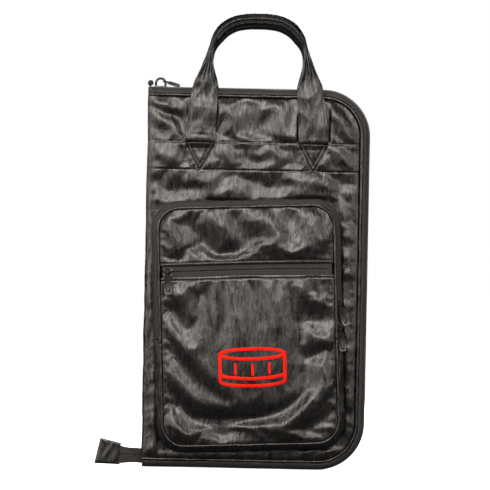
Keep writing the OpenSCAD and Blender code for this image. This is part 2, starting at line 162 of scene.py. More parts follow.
def make_object(name, verts, faces, material, smooth=True, uv=None):
    mesh = bpy.data.meshes.new(name)
    verts = np.asarray(verts, float) * MM
    faces = np.asarray(faces, np.int32)
    sides = faces.shape[1]
    mesh.vertices.add(len(verts))
    mesh.vertices.foreach_set("co", verts.ravel())
    mesh.loops.add(faces.size)
    mesh.loops.foreach_set("vertex_index", faces.ravel())
    mesh.polygons.add(len(faces))
    mesh.polygons.foreach_set("loop_start", np.arange(0, faces.size, sides, dtype=np.int32))
    mesh.polygons.foreach_set("loop_total", np.full(len(faces), sides, np.int32))
    mesh.polygons.foreach_set("use_smooth", np.full(len(faces), smooth))
    if uv is not None:
        layer = mesh.uv_layers.new(name="run")
        layer.data.foreach_set("uv", (np.asarray(uv)[faces.ravel()] * MM).ravel())
    mesh.update(calc_edges=True)
    mesh.validate()
    if material is not None:
        mesh.materials.append(material)
    obj = bpy.data.objects.new(name, mesh)
    bpy.context.scene.collection.objects.link(obj)
    return obj


def grid_faces(rows, cols, close_rows=False, close_cols=False, flip=False):
    r = np.arange(rows if close_rows else rows - 1)
    c = np.arange(cols if close_cols else cols - 1)
    r, c = np.meshgrid(r, c, indexing="ij")
    r, c = r.ravel(), c.ravel()
    r1, c1 = (r + 1) % rows, (c + 1) % cols
    quads = np.stack([r * cols + c, r1 * cols + c, r1 * cols + c1, r * cols + c1], 1)
    return quads[:, ::-1] if flip else quads


def grid_object(name, points, material, close_rows=False, close_cols=False, flip=False, uv=None):
    rows, cols = points.shape[:2]
    faces = grid_faces(rows, cols, close_rows, close_cols, flip)
    flat_uv = None if uv is None else uv.reshape(-1, 2)
    return make_object(name, points.reshape(-1, 3), faces, material, uv=flat_uv)


def thicken(obj, thickness, inner_material=None):
    """Gives a sheet its thickness, away from its face."""
    if inner_material is not None:
        obj.data.materials.append(inner_material)
    shell = obj.modifiers.new("thickness", "SOLIDIFY")
    shell.thickness = thickness * MM
    shell.offset = -1
    if inner_material is not None:
        shell.material_offset = 1
    return obj


def subdivide(obj, levels=1):
    modifier = obj.modifiers.new("smooth", "SUBSURF")
    modifier.levels = modifier.render_levels = levels
    return obj


def merged(name, parts, material):
    """One object from a list of (verts, quads)."""
    verts, faces, start = [], [], 0
    for v, f in parts:
        verts.append(v)
        faces.append(np.asarray(f) + start)
        start += len(v)
    return make_object(name, np.concatenate(verts), np.concatenate(faces), material)


# ---------- paths and sweeps ----------

def resample(points, step):
    """Even steps along a polyline; also gives the lengths."""
    lengths = np.concatenate([[0], np.cumsum(np.linalg.norm(np.diff(points, axis=0), axis=1))])
    count = max(2, int(round(lengths[-1] / step)) + 1)
    at = np.linspace(0, lengths[-1], count)
    return np.stack([np.interp(at, lengths, points[:, i]) for i in range(3)], 1), at


def rim_path(step=2.0, x_left=LEFT, inset=0.0):
    """The bag's outline from the top left round to the foot's left, with its outward normals."""
    r = CORNER - inset
    cx, high, low = RIGHT - CORNER, TOP - CORNER, FOOT + CORNER
    arc = np.radians(np.linspace(90, 0, 40))
    pts = [(x_left, TOP - inset, 0, 1), (cx, TOP - inset, 0, 1)]
    pts += [(cx + r * math.cos(a), high + r * math.sin(a), math.cos(a), math.sin(a)) for a in arc[1:]]
    pts += [(cx + r * math.cos(a), low - r * math.sin(a), math.cos(a), -math.sin(a)) for a in arc[::-1]]
    pts += [(x_left, FOOT + inset, 0, -1)]
    pts = np.array(pts)
    lengths = np.concatenate([[0], np.cumsum(np.hypot(*np.diff(pts[:, :2], axis=0).T))])
    at = np.linspace(0, lengths[-1], int(lengths[-1] / step) + 1)
    x, z, nx, nz = (np.interp(at, lengths, pts[:, i]) for i in range(4))
    scale = 1 / np.hypot(nx, nz)
    return np.stack([x, z], 1), np.stack([nx * scale, nz * scale], 1), at


def rim_sweep(name, side, profile, material, step=2.0, x_left=LEFT, close=True, wobble=None):
    """Sweeps (out, depth) profile points round the rim of one half; side is -1 in front, 1 behind."""
    path, normal, at = rim_path(step, x_left)
    profile = np.asarray(profile, float)
    u, v = profile[:, 0], profile[:, 1]
    if wobble is not None:
        du, dv = wobble(at[:, None], np.arange(len(u))[None, :])
        u, v = u + du, v + dv
    else:
        u, v = np.broadcast_to(u, (len(at), len(u))), np.broadcast_to(v, (len(at), len(v)))
    points = np.stack([
        path[:, 0:1] + normal[:, 0:1] * u,
        side * v,
        path[:, 1:2] + normal[:, 1:2] * u,
    ], 2)
    along = np.broadcast_to(at[:, None], u.shape)
    across = np.concatenate([[0], np.cumsum(np.hypot(*np.diff(profile, axis=0).T))])
    uv = np.stack([along, np.broadcast_to(across, u.shape)], 2)
    obj = grid_object(name, points, material, close_cols=close, flip=side > 0, uv=uv)
    return obj


def pocket_path(low_q=None, high_q=None, step=2.0, grow=0.0):
    """The pocket face's outline with outward normals, clockwise from its left, above or below a height."""
    w, h, r = POCKET_W / 2 + grow, POCKET_H / 2 + grow, POCKET_R + grow
    pts = []
    for cx, cz, start in ((-1, 1, 180), (1, 1, 90), (1, -1, 0), (-1, -1, -90)):
        for a in np.radians(np.linspace(start, start - 90, 24)):
            pts.append((cx * (w - r) + r * math.cos(a), cz * (h - r) + r * math.sin(a),
                        math.cos(a), math.sin(a)))
    pts = np.array(pts + [pts[0]])
    lengths = np.concatenate([[0], np.cumsum(np.hypot(*np.diff(pts[:, :2], axis=0).T))])
    at = np.linspace(0, lengths[-1], int(lengths[-1] / 0.5) + 1)[:-1]
    p, q, nx, nz = (np.interp(at, lengths, pts[:, i]) for i in range(4))
    if low_q is not None or high_q is not None:
        keep = q >= low_q if low_q is not None else q <= high_q
        first = np.nonzero(keep & ~np.roll(keep, 1))[0][0]
        order = (np.arange(len(at)) + first) % len(at)
        order = order[keep[order]]
        p, q, nx, nz = p[order], q[order], nx[order], nz[order]
    pick = np.unique(np.round(np.linspace(0, len(p) - 1, int(len(p) * 0.5 / step))).astype(int))
    scale = 1 / np.hypot(nx, nz)
    return (np.stack([p, q], 1)[pick], np.stack([nx * scale, nz * scale], 1)[pick], pick * 0.5)


def pocket_sweep(name, profile, material, low_q=None, high_q=None, step=2.0, close=True, wobble=None,
                 parts=False):
    """Sweeps (out, forwards) profile points round the pocket."""
    path, normal, at = pocket_path(low_q, high_q, step)
    whole = low_q is None and high_q is None
    profile = np.asarray(profile, float)
    u = np.broadcast_to(profile[:, 0], (len(at), len(profile)))
    v = np.broadcast_to(profile[:, 1], (len(at), len(profile)))
    if wobble is not None:
        du, dv = wobble(at[:, None], np.arange(len(profile))[None, :])
        u, v = u + du, v + dv
    points = pocket_point(path[:, 0:1] + normal[:, 0:1] * u, v, path[:, 1:2] + normal[:, 1:2] * u)
    along = np.broadcast_to(at[:, None], u.shape)
    across = np.concatenate([[0], np.cumsum(np.hypot(*np.diff(profile, axis=0).T))])
    uv = np.stack([along, np.broadcast_to(across, u.shape)], 2)
    return grid_object(name, points, material, close_rows=whole, close_cols=close, uv=uv)


def circle_profile(u, v, r, count=12, squash=1.0):
    a = np.linspace(0, 2 * math.pi, count, endpoint=False)
    return np.stack([u + r * np.cos(a), v - squash * r * np.sin(a)], 1)


def cap_ends(obj):
    """Closes the open ends of a swept tube."""
    import bmesh
    bm = bmesh.new()
    bm.from_mesh(obj.data)
    edges = [e for e in bm.edges if e.is_boundary]
    if edges:
        bmesh.ops.holes_fill(bm, edges=edges, sides=0)
    bm.to_mesh(obj.data)
    bm.free()
    return obj


# ---------- stitches ----------

def stitch_shape():
    """A short thread with sunken ends, along x with its crown along z, about one unit long."""
    rings, sides = 6, 6
    verts = []
    for i in range(rings):
        t = i / (rings - 1)
        bulge = math.sin(math.pi * (0.12 + 0.76 * t))
        for k in range(sides):
            a = 2 * math.pi * k / sides
            verts.append((t - 0.5, 0.5 * bulge * math.cos(a), 0.5 * bulge * math.sin(a) + 0.9 * bulge - 0.9))
    faces = grid_faces(rings, sides, close_cols=True)
    return np.array(verts), faces


def stitch_parts(points, outward, pitch=3.5, length=2.7, thread=0.9):
    """Stitches along a polyline; outward is the surface normal there."""
    points = np.asarray(points, float)
    outward = np.broadcast_to(np.asarray(outward, float), points.shape)
    lengths = np.concatenate([[0], np.cumsum(np.linalg.norm(np.diff(points, axis=0), axis=1))])
    count = int(lengths[-1] / pitch)
    if count < 1:
        return []
    at = (np.arange(count) + 0.5) * lengths[-1] / count
    where = lambda values, s: np.stack([np.interp(s, lengths, values[:, i]) for i in range(3)], 1)
    centre = where(points, at)
    along = where(points, at + 0.6) - where(points, at - 0.6)
    along /= np.linalg.norm(along, axis=1)[:, None]
    up = where(outward, at)
    side = np.cross(up, along)
    side /= np.linalg.norm(side, axis=1)[:, None]
    up = np.cross(along, side)
    verts, faces = stitch_shape()
    local = verts * np.array([length, thread, thread])
    out = (centre[:, None] + local[None, :, 0:1] * along[:, None] + local[None, :, 1:2] * side[:, None]
           + local[None, :, 2:3] * up[:, None])
    shift = (np.arange(count) * len(verts))[:, None, None]
    return [(out.reshape(-1, 3), (faces[None] + shift).reshape(-1, 4))]


# ---------- materials ----------

def new_material(name):
    material = bpy.data.materials.new(name)
    material.use_nodes = True
    tree = material.node_tree
    return material, tree, tree.nodes["Principled BSDF"]


def add(tree, kind, **settings):
    node = tree.nodes.new(kind)
    for key, value in settings.items():
        setattr(node, key, value)
    return node


def link(tree, a, b):
    tree.links.new(a, b)


def noise_node(tree, vector, scale, detail=3.0, rough=0.5):
    node = add(tree, "ShaderNodeTexNoise")
    node.inputs["Scale"].default_value = scale
    node.inputs["Detail"].default_value = detail
    node.inputs["Roughness"].default_value = rough
    link(tree, vector, node.inputs["Vector"])
    return node.outputs["Fac"]


def math_node(tree, operation, a, b=None, c=None):
    node = add(tree, "ShaderNodeMath", operation=operation)
    for socket, value in zip(node.inputs, (a, b, c)):
        if value is None:
            continue
        if isinstance(value, (int, float)):
            socket.default_value = value
        else:
            link(tree, value, socket)
    return node.outputs[0]


def ramp(tree, value, low, high, out_low=0.0, out_high=1.0):
    node = add(tree, "ShaderNodeMapRange", clamp=True)
    link(tree, value, node.inputs["Value"])
    for key, number in (("From Min", low), ("From Max", high), ("To Min", out_low), ("To Max", out_high)):
        node.inputs[key].default_value = number
    return node.outputs["Result"]


def mix_colour(tree, factor, a, b):
    node = add(tree, "ShaderNodeMix", data_type="RGBA")
    link(tree, factor, node.inputs["Factor"])
    node.inputs["A"].default_value = (*a, 1)
    node.inputs["B"].default_value = (*b, 1)
    return node.outputs["Result"]


def bump(tree, height, distance, strength, normal=None):
    node = add(tree, "ShaderNodeBump")
    node.inputs["Distance"].default_value = distance * MM
    node.inputs["Strength"].default_value = strength
    link(tree, height, node.inputs["Height"])
    if normal is not None:
        link(tree, normal, node.inputs["Normal"])
    return node.outputs["Normal"]


def stretched(tree, source, scale, lean=0.0):
    mapping = add(tree, "ShaderNodeMapping")
    mapping.inputs["Scale"].default_value = scale
    mapping.inputs["Rotation"].default_value = (0, lean, 0)
    link(tree, source, mapping.inputs["Vector"])
    return mapping.outputs["Vector"]


def leather(name, dark=(0.0009, 0.0008, 0.0008), light=(0.0050, 0.0045, 0.0042), gloss=0.31, lean=0.25,
            crease=1.0, painted_shade_above=None):
    """Glossy pulled-up synthetic leather: pebble grain, long streaky creases and worn crests."""
    material, tree, shader = new_material(name)
    where = add(tree, "ShaderNodeTexCoord").outputs["Object"]
    warp = add(tree, "ShaderNodeTexNoise")
    warp.inputs["Scale"].default_value = 28
    link(tree, where, warp.inputs["Vector"])
    bent = add(tree, "ShaderNodeVectorMath", operation="MULTIPLY_ADD")
    link(tree, warp.outputs["Color"], bent.inputs[0])
    bent.inputs[1].default_value = (0.022, 0.022, 0.022)
    link(tree, where, bent.inputs[2])
    bent = bent.outputs["Vector"]
    streak = noise_node(tree, stretched(tree, bent, (1.0, 1.0, 0.24), lean), 230, 4, 0.62)
    hair = noise_node(tree, stretched(tree, bent, (1.0, 1.0, 0.12), lean + 0.3), 340, 3, 0.6)
    cross = noise_node(tree, stretched(tree, bent, (0.35, 1.0, 1.0), lean - 0.5), 190, 3, 0.6)
    crest = math_node(tree, "ABSOLUTE", math_node(tree, "SUBTRACT", streak, 0.5))
    crest = ramp(tree, crest, 0.0, 0.11)
    crest_cross = ramp(tree, math_node(tree, "ABSOLUTE", math_node(tree, "SUBTRACT", cross, 0.5)), 0.0, 0.07)
    soft = noise_node(tree, where, 60, 3, 0.55)
    pebble = add(tree, "ShaderNodeTexVoronoi", feature="SMOOTH_F1")
    pebble.inputs["Scale"].default_value = 900
    link(tree, bent, pebble.inputs["Vector"])
    normal = bump(tree, soft, 1.6, 0.18)
    normal = bump(tree, streak, 0.8, 0.26 * crease, normal)
    normal = bump(tree, hair, 0.9, 0.55 * crease, normal)
    normal = bump(tree, crest, 0.35, 0.20 * crease, normal)
    normal = bump(tree, crest_cross, 0.22, 0.12 * crease, normal)
    normal = bump(tree, pebble.outputs["Distance"], 0.10, 0.12, normal)
    patch = noise_node(tree, where, 22, 4, 0.6)
    tint = math_node(tree, "MULTIPLY", ramp(tree, patch, 0.35, 0.68), ramp(tree, hair, 0.40, 0.62, 0.2, 1.0))
    link(tree, mix_colour(tree, tint, dark, light), shader.inputs["Base Color"])
    rough = math_node(tree, "ADD", ramp(tree, streak, 0.3, 0.7, gloss - 0.07, gloss + 0.10),
                      ramp(tree, patch, 0.3, 0.7, -0.04, 0.06))
    link(tree, rough, shader.inputs["Roughness"])
    shine = math_node(tree, "MULTIPLY", ramp(tree, hair, 0.38, 0.62, 0.62, 1.12), ramp(tree, streak, 0.35, 0.65, 0.75, 1.0))
    # Above the given height the reflection is dimmed to 0.42 of its strength: painted shade on the handle's grip,
    # which is the same leather as the straps.
    if painted_shade_above is not None:
        split = add(tree, "ShaderNodeSeparateXYZ")
        link(tree, where, split.inputs[0])
        low, high = painted_shade_above
        shine = math_node(tree, "MULTIPLY", shine, ramp(tree, split.outputs["Z"], low * MM, high * MM, 1.0, 0.42))
    link(tree, shine, shader.inputs["Specular IOR Level"])
    link(tree, normal, shader.inputs["Normal"])
    return material


def woven(name, dark, light, along=1500.0, across=1500.0, rough=0.75, rib=0.0, depth=0.12):
    """Woven tape or cloth. Its threads follow the run of the strip, through its UV map."""
    material, tree, shader = new_material(name)
    where = add(tree, "ShaderNodeUVMap", uv_map="run").outputs["UV"]
    split = add(tree, "ShaderNodeSeparateXYZ")
    link(tree, where, split.inputs[0])
    warp = math_node(tree, "SINE", math_node(tree, "MULTIPLY", split.outputs["X"], along))
    weft = math_node(tree, "SINE", math_node(tree, "MULTIPLY", split.outputs["Y"], across))
    cloth = math_node(tree, "MULTIPLY", warp, weft)
    normal = bump(tree, cloth, depth, 0.6)
    if rib:
        rows = math_node(tree, "SINE", math_node(tree, "MULTIPLY", split.outputs["Y"], rib))
        normal = bump(tree, rows, depth * 2.2, 0.5, normal)
    body = add(tree, "ShaderNodeTexCoord").outputs["Object"]
    patch = noise_node(tree, body, 90, 4, 0.6)
    normal = bump(tree, patch, 0.5, 0.25, normal)
    link(tree, mix_colour(tree, ramp(tree, patch, 0.3, 0.7), dark, light), shader.inputs["Base Color"])
    link(tree, ramp(tree, cloth, -1, 1, rough - 0.06, rough + 0.06), shader.inputs["Roughness"])
    shader.inputs["Sheen Weight"].default_value = 0.08
    shader.inputs["Sheen Roughness"].default_value = 0.5
    link(tree, normal, shader.inputs["Normal"])
    return material


def plain_cloth(name, dark, light, scale=1500.0, rough=0.7, depth=0.1, sheen=0.3):
    """Cloth with a fine square weave that needs no UV map."""
    material, tree, shader = new_material(name)
    where = add(tree, "ShaderNodeTexCoord").outputs["Object"]
    split = add(tree, "ShaderNodeSeparateXYZ")
    link(tree, where, split.inputs[0])
    side = math_node(tree, "ADD", split.outputs["X"], split.outputs["Y"])
    warp = math_node(tree, "SINE", math_node(tree, "MULTIPLY", side, scale))
    weft = math_node(tree, "SINE", math_node(tree, "MULTIPLY", split.outputs["Z"], scale))
    cloth = math_node(tree, "MULTIPLY", warp, weft)
    patch = noise_node(tree, where, 40, 4, 0.6)
    normal = bump(tree, patch, 1.2, 0.3)
    normal = bump(tree, cloth, depth, 0.5, normal)
    link(tree, mix_colour(tree, ramp(tree, patch, 0.3, 0.7), dark, light), shader.inputs["Base Color"])
    link(tree, ramp(tree, patch, 0.3, 0.7, rough - 0.08, rough + 0.08), shader.inputs["Roughness"])
    shader.inputs["Sheen Weight"].default_value = sheen
    link(tree, normal, shader.inputs["Normal"])
    return material


def thread_material(name, dark, light, rough=0.5, scale=2600.0, sheen=0.3, specular=0.5):
    material, tree, shader = new_material(name)
    where = add(tree, "ShaderNodeTexCoord").outputs["Object"]
    fibres = noise_node(tree, where, scale, 2, 0.5)
    patch = noise_node(tree, where, 160, 3, 0.5)
    link(tree, mix_colour(tree, ramp(tree, patch, 0.3, 0.7), dark, light), shader.inputs["Base Color"])
    link(tree, bump(tree, fibres, 0.12, 0.5), shader.inputs["Normal"])
    shader.inputs["Roughness"].default_value = rough
    shader.inputs["Sheen Weight"].default_value = sheen
    shader.inputs["Specular IOR Level"].default_value = specular
    return material


def painted_metal(name):
    """Black enamel on zinc, worn bright along its edges."""
    material, tree, shader = new_material(name)
    where = add(tree, "ShaderNodeTexCoord").outputs["Object"]
    scuff = noise_node(tree, where, 700, 4, 0.65)
    patch = noise_node(tree, where, 240, 3, 0.6)
    edge = add(tree, "ShaderNodeNewGeometry").outputs["Pointiness"]
    worn = math_node(tree, "MULTIPLY", ramp(tree, edge, 0.53, 0.60), ramp(tree, patch, 0.30, 0.56))
    link(tree, mix_colour(tree, worn, (0.010, 0.010, 0.011), (0.50, 0.49, 0.46)), shader.inputs["Base Color"])
    link(tree, worn, shader.inputs["Metallic"])
    link(tree, ramp(tree, scuff, 0.3, 0.7, 0.22, 0.38), shader.inputs["Roughness"])
    link(tree, bump(tree, scuff, 0.08, 0.25), shader.inputs["Normal"])
    return material


LEATHER = leather("bag_leather")
POCKET_LEATHER = leather("pocket_leather", lean=0.15)
BACK_LEATHER = leather("back_leather", lean=-0.2)
# The handle's grip above 500 mm gets a dimmed reflection, a painted shade.
HANDLE_LEATHER = leather("handle_leather", gloss=0.31, lean=0.0, crease=0.8, painted_shade_above=(500, 525))
PIPING_LEATHER = leather("piping_leather", gloss=0.28, crease=0.5)
SUEDE = plain_cloth("leather_backing", (0.03, 0.03, 0.031), (0.045, 0.045, 0.046), 1900, 0.9, 0.1, 0.2)
TAPE = woven("zip_tape", (0.015, 0.0136, 0.0130), (0.024, 0.0220, 0.0210), rib=3200)
WEB = woven("gusset_web", (0.015, 0.0136, 0.0130), (0.025, 0.0228, 0.0218), 1100, 1100, 0.7, depth=0.2)
LINING = plain_cloth("lining_cloth", (0.010, 0.010, 0.012), (0.018, 0.018, 0.021), 1400, 0.46, 0.14, 0.08)
SLEEVE = plain_cloth("sleeve_cloth", (0.014, 0.014, 0.016), (0.024, 0.024, 0.028), 1000, 0.42, 0.2, 0.08)
BINDING = woven("binding_tape", (0.035, 0.034, 0.034), (0.055, 0.054, 0.054), rough=0.7)
COIL = thread_material("coil_nylon", (0.010, 0.010, 0.010), (0.02, 0.02, 0.02), 0.38)
THREAD = thread_material("black_thread", (0.0022, 0.0021, 0.002), (0.007, 0.0066, 0.0062), 0.5, sheen=0.05, specular=0.3)
INNER_THREAD = thread_material("grey_thread", (0.05, 0.05, 0.052), (0.10, 0.10, 0.105), 0.55, sheen=0.1)
RED = thread_material("red_thread", (0.72, 0.006, 0.0), (0.95, 0.016, 0.0), 0.6, sheen=0.0, specular=0.2)
METAL = painted_metal("black_enamel")


# ---------- leather sheets settled by cloth simulation ----------

SETTLE_FRAMES = 20
SETTLE_CAP = 4.5


def simulate(name, x, z, heights, pinned, growth, stiffness, sag, pressure):
    """Lets a sheet that is cut slightly too large buckle between its seams, and gives its new heights."""
    points = np.stack([x, -heights, z], 2)
    sheet = grid_object(name, points, None, flip=False)
    pins = sheet.vertex_groups.new(name="pins")
    pins.add(np.nonzero(pinned.ravel())[0].tolist(), 1.0, "REPLACE")
    cloth = sheet.modifiers.new("cloth", "CLOTH")
    settings = cloth.settings
    settings.quality = 6
    settings.air_damping = 3
    settings.bending_stiffness = stiffness
    settings.vertex_group_mass = "pins"
    settings.shrink_min = settings.shrink_max = -growth
    settings.use_pressure = True
    settings.uniform_pressure_force = pressure
    settings.effector_weights.gravity = sag
    cloth.collision_settings.use_collision = False
    cloth.point_cache.frame_start = 1
    cloth.point_cache.frame_end = SETTLE_FRAMES
    for step in range(1, SETTLE_FRAMES + 1):
        bpy.context.scene.frame_set(step)
    settled = sheet.evaluated_get(bpy.context.evaluated_depsgraph_get())
    place = np.empty(x.size * 3)
    settled.data.vertices.foreach_get("co", place)
    bpy.data.objects.remove(sheet)
    bpy.context.scene.frame_set(1)
    return -place.reshape(points.shape)[..., 1] / MM


def refine(values):
    """Twice the resolution, smoothed by one step of spline subdivision."""
    for axis in (0, 1):
        values = np.moveaxis(values, axis, 0)
        fine_ = np.empty((2 * len(values) - 1, values.shape[1]))
        fine_[::2] = values
        fine_[1::2] = (values[1:] + values[:-1]) / 2
        fine_[1:-1] = (fine_[:-2] + 2 * fine_[1:-1] + fine_[2:]) / 4
        values = np.moveaxis(fine_, 0, axis)
    return values


def settled_sheet(name, low, high, step, start, sewn, growth=0.025, stiffness=8, sag=0.05, pressure=0.4):
    """The simulated heights of a sheet between two corners, as a function of the place on it."""
    axes = [np.linspace(a, b, int((b - a) / step) + 1) for a, b in zip(low, high)]
    x, z = np.meshgrid(*axes, indexing="ij")
    heights = start(x, z)
    found = simulate(name, x, z, heights, sewn(x, z), growth, stiffness, sag, pressure)
    heights = heights + np.clip(found - heights, -SETTLE_CAP, SETTLE_CAP)
    heights = refine(refine(heights))
    rows, cols = heights.shape

    def lookup(px, pz):
        u = np.clip((px - low[0]) / (high[0] - low[0]) * (rows - 1), 0, rows - 1.001)
        v = np.clip((pz - low[1]) / (high[1] - low[1]) * (cols - 1), 0, cols - 1.001)
        i, j = u.astype(int), v.astype(int)
        u, v = u - i, v - j
        return ((heights[i, j] * (1 - u) + heights[i + 1, j] * u) * (1 - v)
                + (heights[i, j + 1] * (1 - u) + heights[i + 1, j + 1] * u) * v)
    return lookup


# ---------- leather of the two halves ----------

PANEL_LOW, PANEL_HIGH = FOOT + RIM, TOP - RIM


def panel_edge(x, z):
    """Distance inside the outline of a half's leather, apart from its folded left edge."""
    right = RIGHT - RIM
    r = CORNER - RIM
    cx = right - r
    in_corner_high = (x > cx) & (z > PANEL_HIGH - r)
    in_corner_low = (x > cx) & (z < PANEL_LOW + r)
    edge = np.minimum(right - x, np.minimum(PANEL_HIGH - z, z - PANEL_LOW))
    edge = np.where(in_corner_high, r - np.hypot(x - cx, z - (PANEL_HIGH - r)), edge)
    return np.where(in_corner_low, r - np.hypot(x - cx, z - (PANEL_LOW + r)), edge)


def stretch_edges(x, z, reach=7.0, depth=1.3):
    """Leather pulled down towards the piping."""
    return -depth * np.exp(-np.clip(panel_edge(x, z), 0, None) / reach * 2.2)


V_TOP = STRAP_W / 2 - 2.5
V_STITCH = 1.9


def v_distance(x, z, side):
    """Distance to the V of stitches that holds a strap's end under the band."""
    foot = HANDLE_X + side * STRAP_SPAN / 2
    best = np.full_like(x, 1e9)
    for arm in (-1, 1):
        x0, z0, x1, z1 = foot + arm * V_TOP, BAND_HIGH - 1, foot, BAND_LOW + 2
        t = np.clip(((x - x0) * (x1 - x0) + (z - z0) * (z1 - z0)) / ((x1 - x0) ** 2 + (z1 - z0) ** 2), 0, 1)
        best = np.minimum(best, np.hypot(x - x0 - t * (x1 - x0), z - z0 - t * (z1 - z0)))
    return best


FRONT_FOLDS = [
    # right shoulder: two strong folds that run down from the strap to the piping
    (84, 452, 118, 404, 6.5, 2.6), (98, 455, 124, 418, 4.0, -2.2), (72, 440, 104, 404, 7, -1.6),
    (112, 452, 125, 432, 4, 1.6), (86, 420, 98, 404, 7, 1.3),
    # left shoulder
    (-132, 452, -96, 440, 5.0, 1.8), (-132, 444, -98, 430, 5.5, -2.0), (-128, 432, -100, 408, 8, 1.7),
    (-104, 448, -92, 414, 6, -1.5), (-134, 420, -118, 408, 7, -1.2), (-98, 456, -90, 444, 5, 1.2),
    # between the straps
    (-44, 440, -20, 408, 12, 1.1), (-14, 452, -4, 420, 10, -1.0), (16, 446, 30, 410, 13, 1.2),
    (44, 452, 40, 424, 8, -1.2), (-48, 424, -52, 406, 7, -0.9),
    # carry band
    (-128, 396, -104, 374, 7, 1.1), (-96, 392, -92, 374, 6, -1.0), (-44, 398, -34, 374, 7, 1.0),
    (-20, 394, -4, 376, 8, -1.1), (14, 396, 24, 374, 8, 1.1), (94, 398, 112, 376, 8, 1.2),
    (42, 396, 48, 376, 6, -0.9), (118, 396, 122, 378, 5, -0.9),
    # under the band, above the pocket
    (-130, 362, -60, 352, 7, 1.0), (-40, 360, 30, 350, 8, -1.1), (40, 362, 110, 344, 8, 1.4),
    (100, 352, 122, 300, 8, -1.6), (-118, 346, -70, 340, 6, -0.9), (60, 350, 100, 338, 7, -1.0),
    # right of the pocket, down to the foot
    (116, 300, 120, 240, 5, 1.2), (112, 230, 122, 160, 6, -1.2), (118, 150, 120, 80, 5, 1.3),
    (110, 60, 60, 22, 6, 1.2), (-40, 20, 60, 22, 4, -0.8), (-130, 300, -132, 200, 4, 1.0),
    (-128, 180, -130, 80, 4, -1.0), (-128, 60, -112, 26, 6, 1.2),
]

BACK_FOLDS = [
    (80, 450, 116, 400, 9, 1.8), (-120, 446, -88, 420, 8, 1.6), (-20, 448, 24, 412, 14, 1.2),
    (-60, 440, -40, 410, 8, -1.2), (40, 392, 92, 376, 8, 1.0), (-110, 394, -70, 378, 8, -1.0),
    (-90, 340, 30, 250, 34, 2.4), (60, 350, 100, 240, 20, -1.8), (-110, 230, -40, 120, 22, -2.0),
    (10, 220, 90, 100, 30, 2.2), (-80, 120, 10, 40, 22, 1.6), (90, 110, 110, 40, 14, -1.6),
    (-120, 90, -100, 30, 14, 1.4), (30, 60, 80, 30, 16, -1.4),
]


def seam_distance(z):
    return np.minimum(np.abs(z - BAND_LOW), np.abs(z - BAND_HIGH))


SWELL_TOP = node_box("pocket_base_gusset")[1][2] + 10


def half_sheet(name, marks, seed, covered):
    """The simulated leather of a half; covered is 1 where the pocket's base is sewn over it."""
    def start(x, z):
        wx = x + 3.0 * noise(x / 26, z / 26, seed + 1)
        wz = z + 3.0 * noise(x / 26, z / 26, seed + 2)
        free = np.clip(seam_distance(z) / 8, 0, 1) * np.clip(panel_edge(x, z) / 9, 0, 1)
        return (1.15 * strokes(wx, wz, marks) + 1.2 * noise(wx / 34, wz / 46, seed + 3)) * free

    def sewn(x, z):
        v_seam = np.minimum(v_distance(x, z, -1), v_distance(x, z, 1))
        in_v = (v_seam < 2) & (z > BAND_LOW) & (z < BAND_HIGH)
        return ((panel_edge(x, z) < 3) | (seam_distance(z) < 1.8) | in_v | (x < SPINE_X + 4)
                | (covered(x, z) > 0.6))

    return settled_sheet(name, (SPINE_X, PANEL_LOW), (RIGHT - RIM, PANEL_HIGH), 2.8, start, sewn,
                         growth=0.016, stiffness=16)


def half_relief(x, z, sheet, seed):
    """How far the leather of one half stands out of its flat panel."""
    near_seam = seam_distance(z)
    inwards = np.clip(np.minimum(panel_edge(x, z), x - SPINE_X), 0, None)
    h = sheet(x, z) - 1.0 + 3.0 * (1 - np.exp(-inwards / 13))
    # beside the pocket the leather swells away from the spine
    h = h + 2.4 * (1 - np.exp(-np.clip(x - SPINE_X, 0, None) / 12)) * np.clip((SWELL_TOP - z) / 90, 0, 1)
    h = h + (0.25 * crumple(x, z, seed + 4, 15, 42, 0.2)
             + 0.12 * crumple(x, z, seed + 5, 7, 22, -0.35)) * np.clip(near_seam / 8, 0, 1)
    h = h + 0.22 * noise(x / 4.2, z / 12, seed + 6) * np.exp(-near_seam / 5)
    in_band = (z > BAND_LOW) & (z < BAND_HIGH)
    h = h + np.where(in_band, 0.5, 0.0)
    h = h + valley(z - BAND_LOW + 0.5, 0.9, 0.9) + valley(z - BAND_HIGH - 0.5, 0.9, 0.9)
    for side in (-1, 1):
        away = v_distance(x, z, side)
        foot = HANDLE_X + side * STRAP_SPAN / 2
        under = np.clip((STRAP_W / 2 + 1.5 - np.abs(x - foot)) / 2.5, 0, 1)
        under = under * np.clip((z - BAND_HIGH + 7) / 6, 0, 1)
        seam = valley(away, 4.0, 0.7) + valley(away - V_STITCH, 0.9, 1.4) + valley(away, 1.1, -1.3)
        pressed = np.clip((STRAP_W / 2 + 3.5 - np.abs(x - foot)) / 3, 0, 1) * np.clip((z - BAND_HIGH) / 4, 0, 1)
        h = h + np.where(in_band, under * 2.9 + seam, 0.0)
        h = h * (1 - pressed) + np.minimum(h, 0.4) * pressed
    return h + stretch_edges(x, z)


def under_pocket(x, z):
    """1 well inside the pocket's base, 0 outside it."""
    p = (x - POCKET_CENTRE[0]) * FOLD_AXIS[0] + (z - POCKET_CENTRE[2]) * FOLD_AXIS[2]
    q = (x - POCKET_CENTRE[0]) * POCKET_UP[0] + (z - POCKET_CENTRE[2]) * POCKET_UP[2]
    inside = np.minimum(POCKET_W / 2 + 8 - np.abs(p), POCKET_H / 2 + 8 - np.abs(q))
    return np.clip(inside / 6 + 0.5, 0, 1)


FRONT_SHEET = half_sheet("front_settle", FRONT_FOLDS, 11, under_pocket)
BACK_SHEET = half_sheet("back_settle", BACK_FOLDS, 57, lambda x, z: 0 * x)


def front_relief(x, z):
    h = half_relief(x, z, FRONT_SHEET, 11)
    return h * (1 - under_pocket(x, z)) + 0.2 * under_pocket(x, z)


def back_relief(x, z):
    return half_relief(x, z, BACK_SHEET, 57) * 0.9


FOLD_R = 4.5


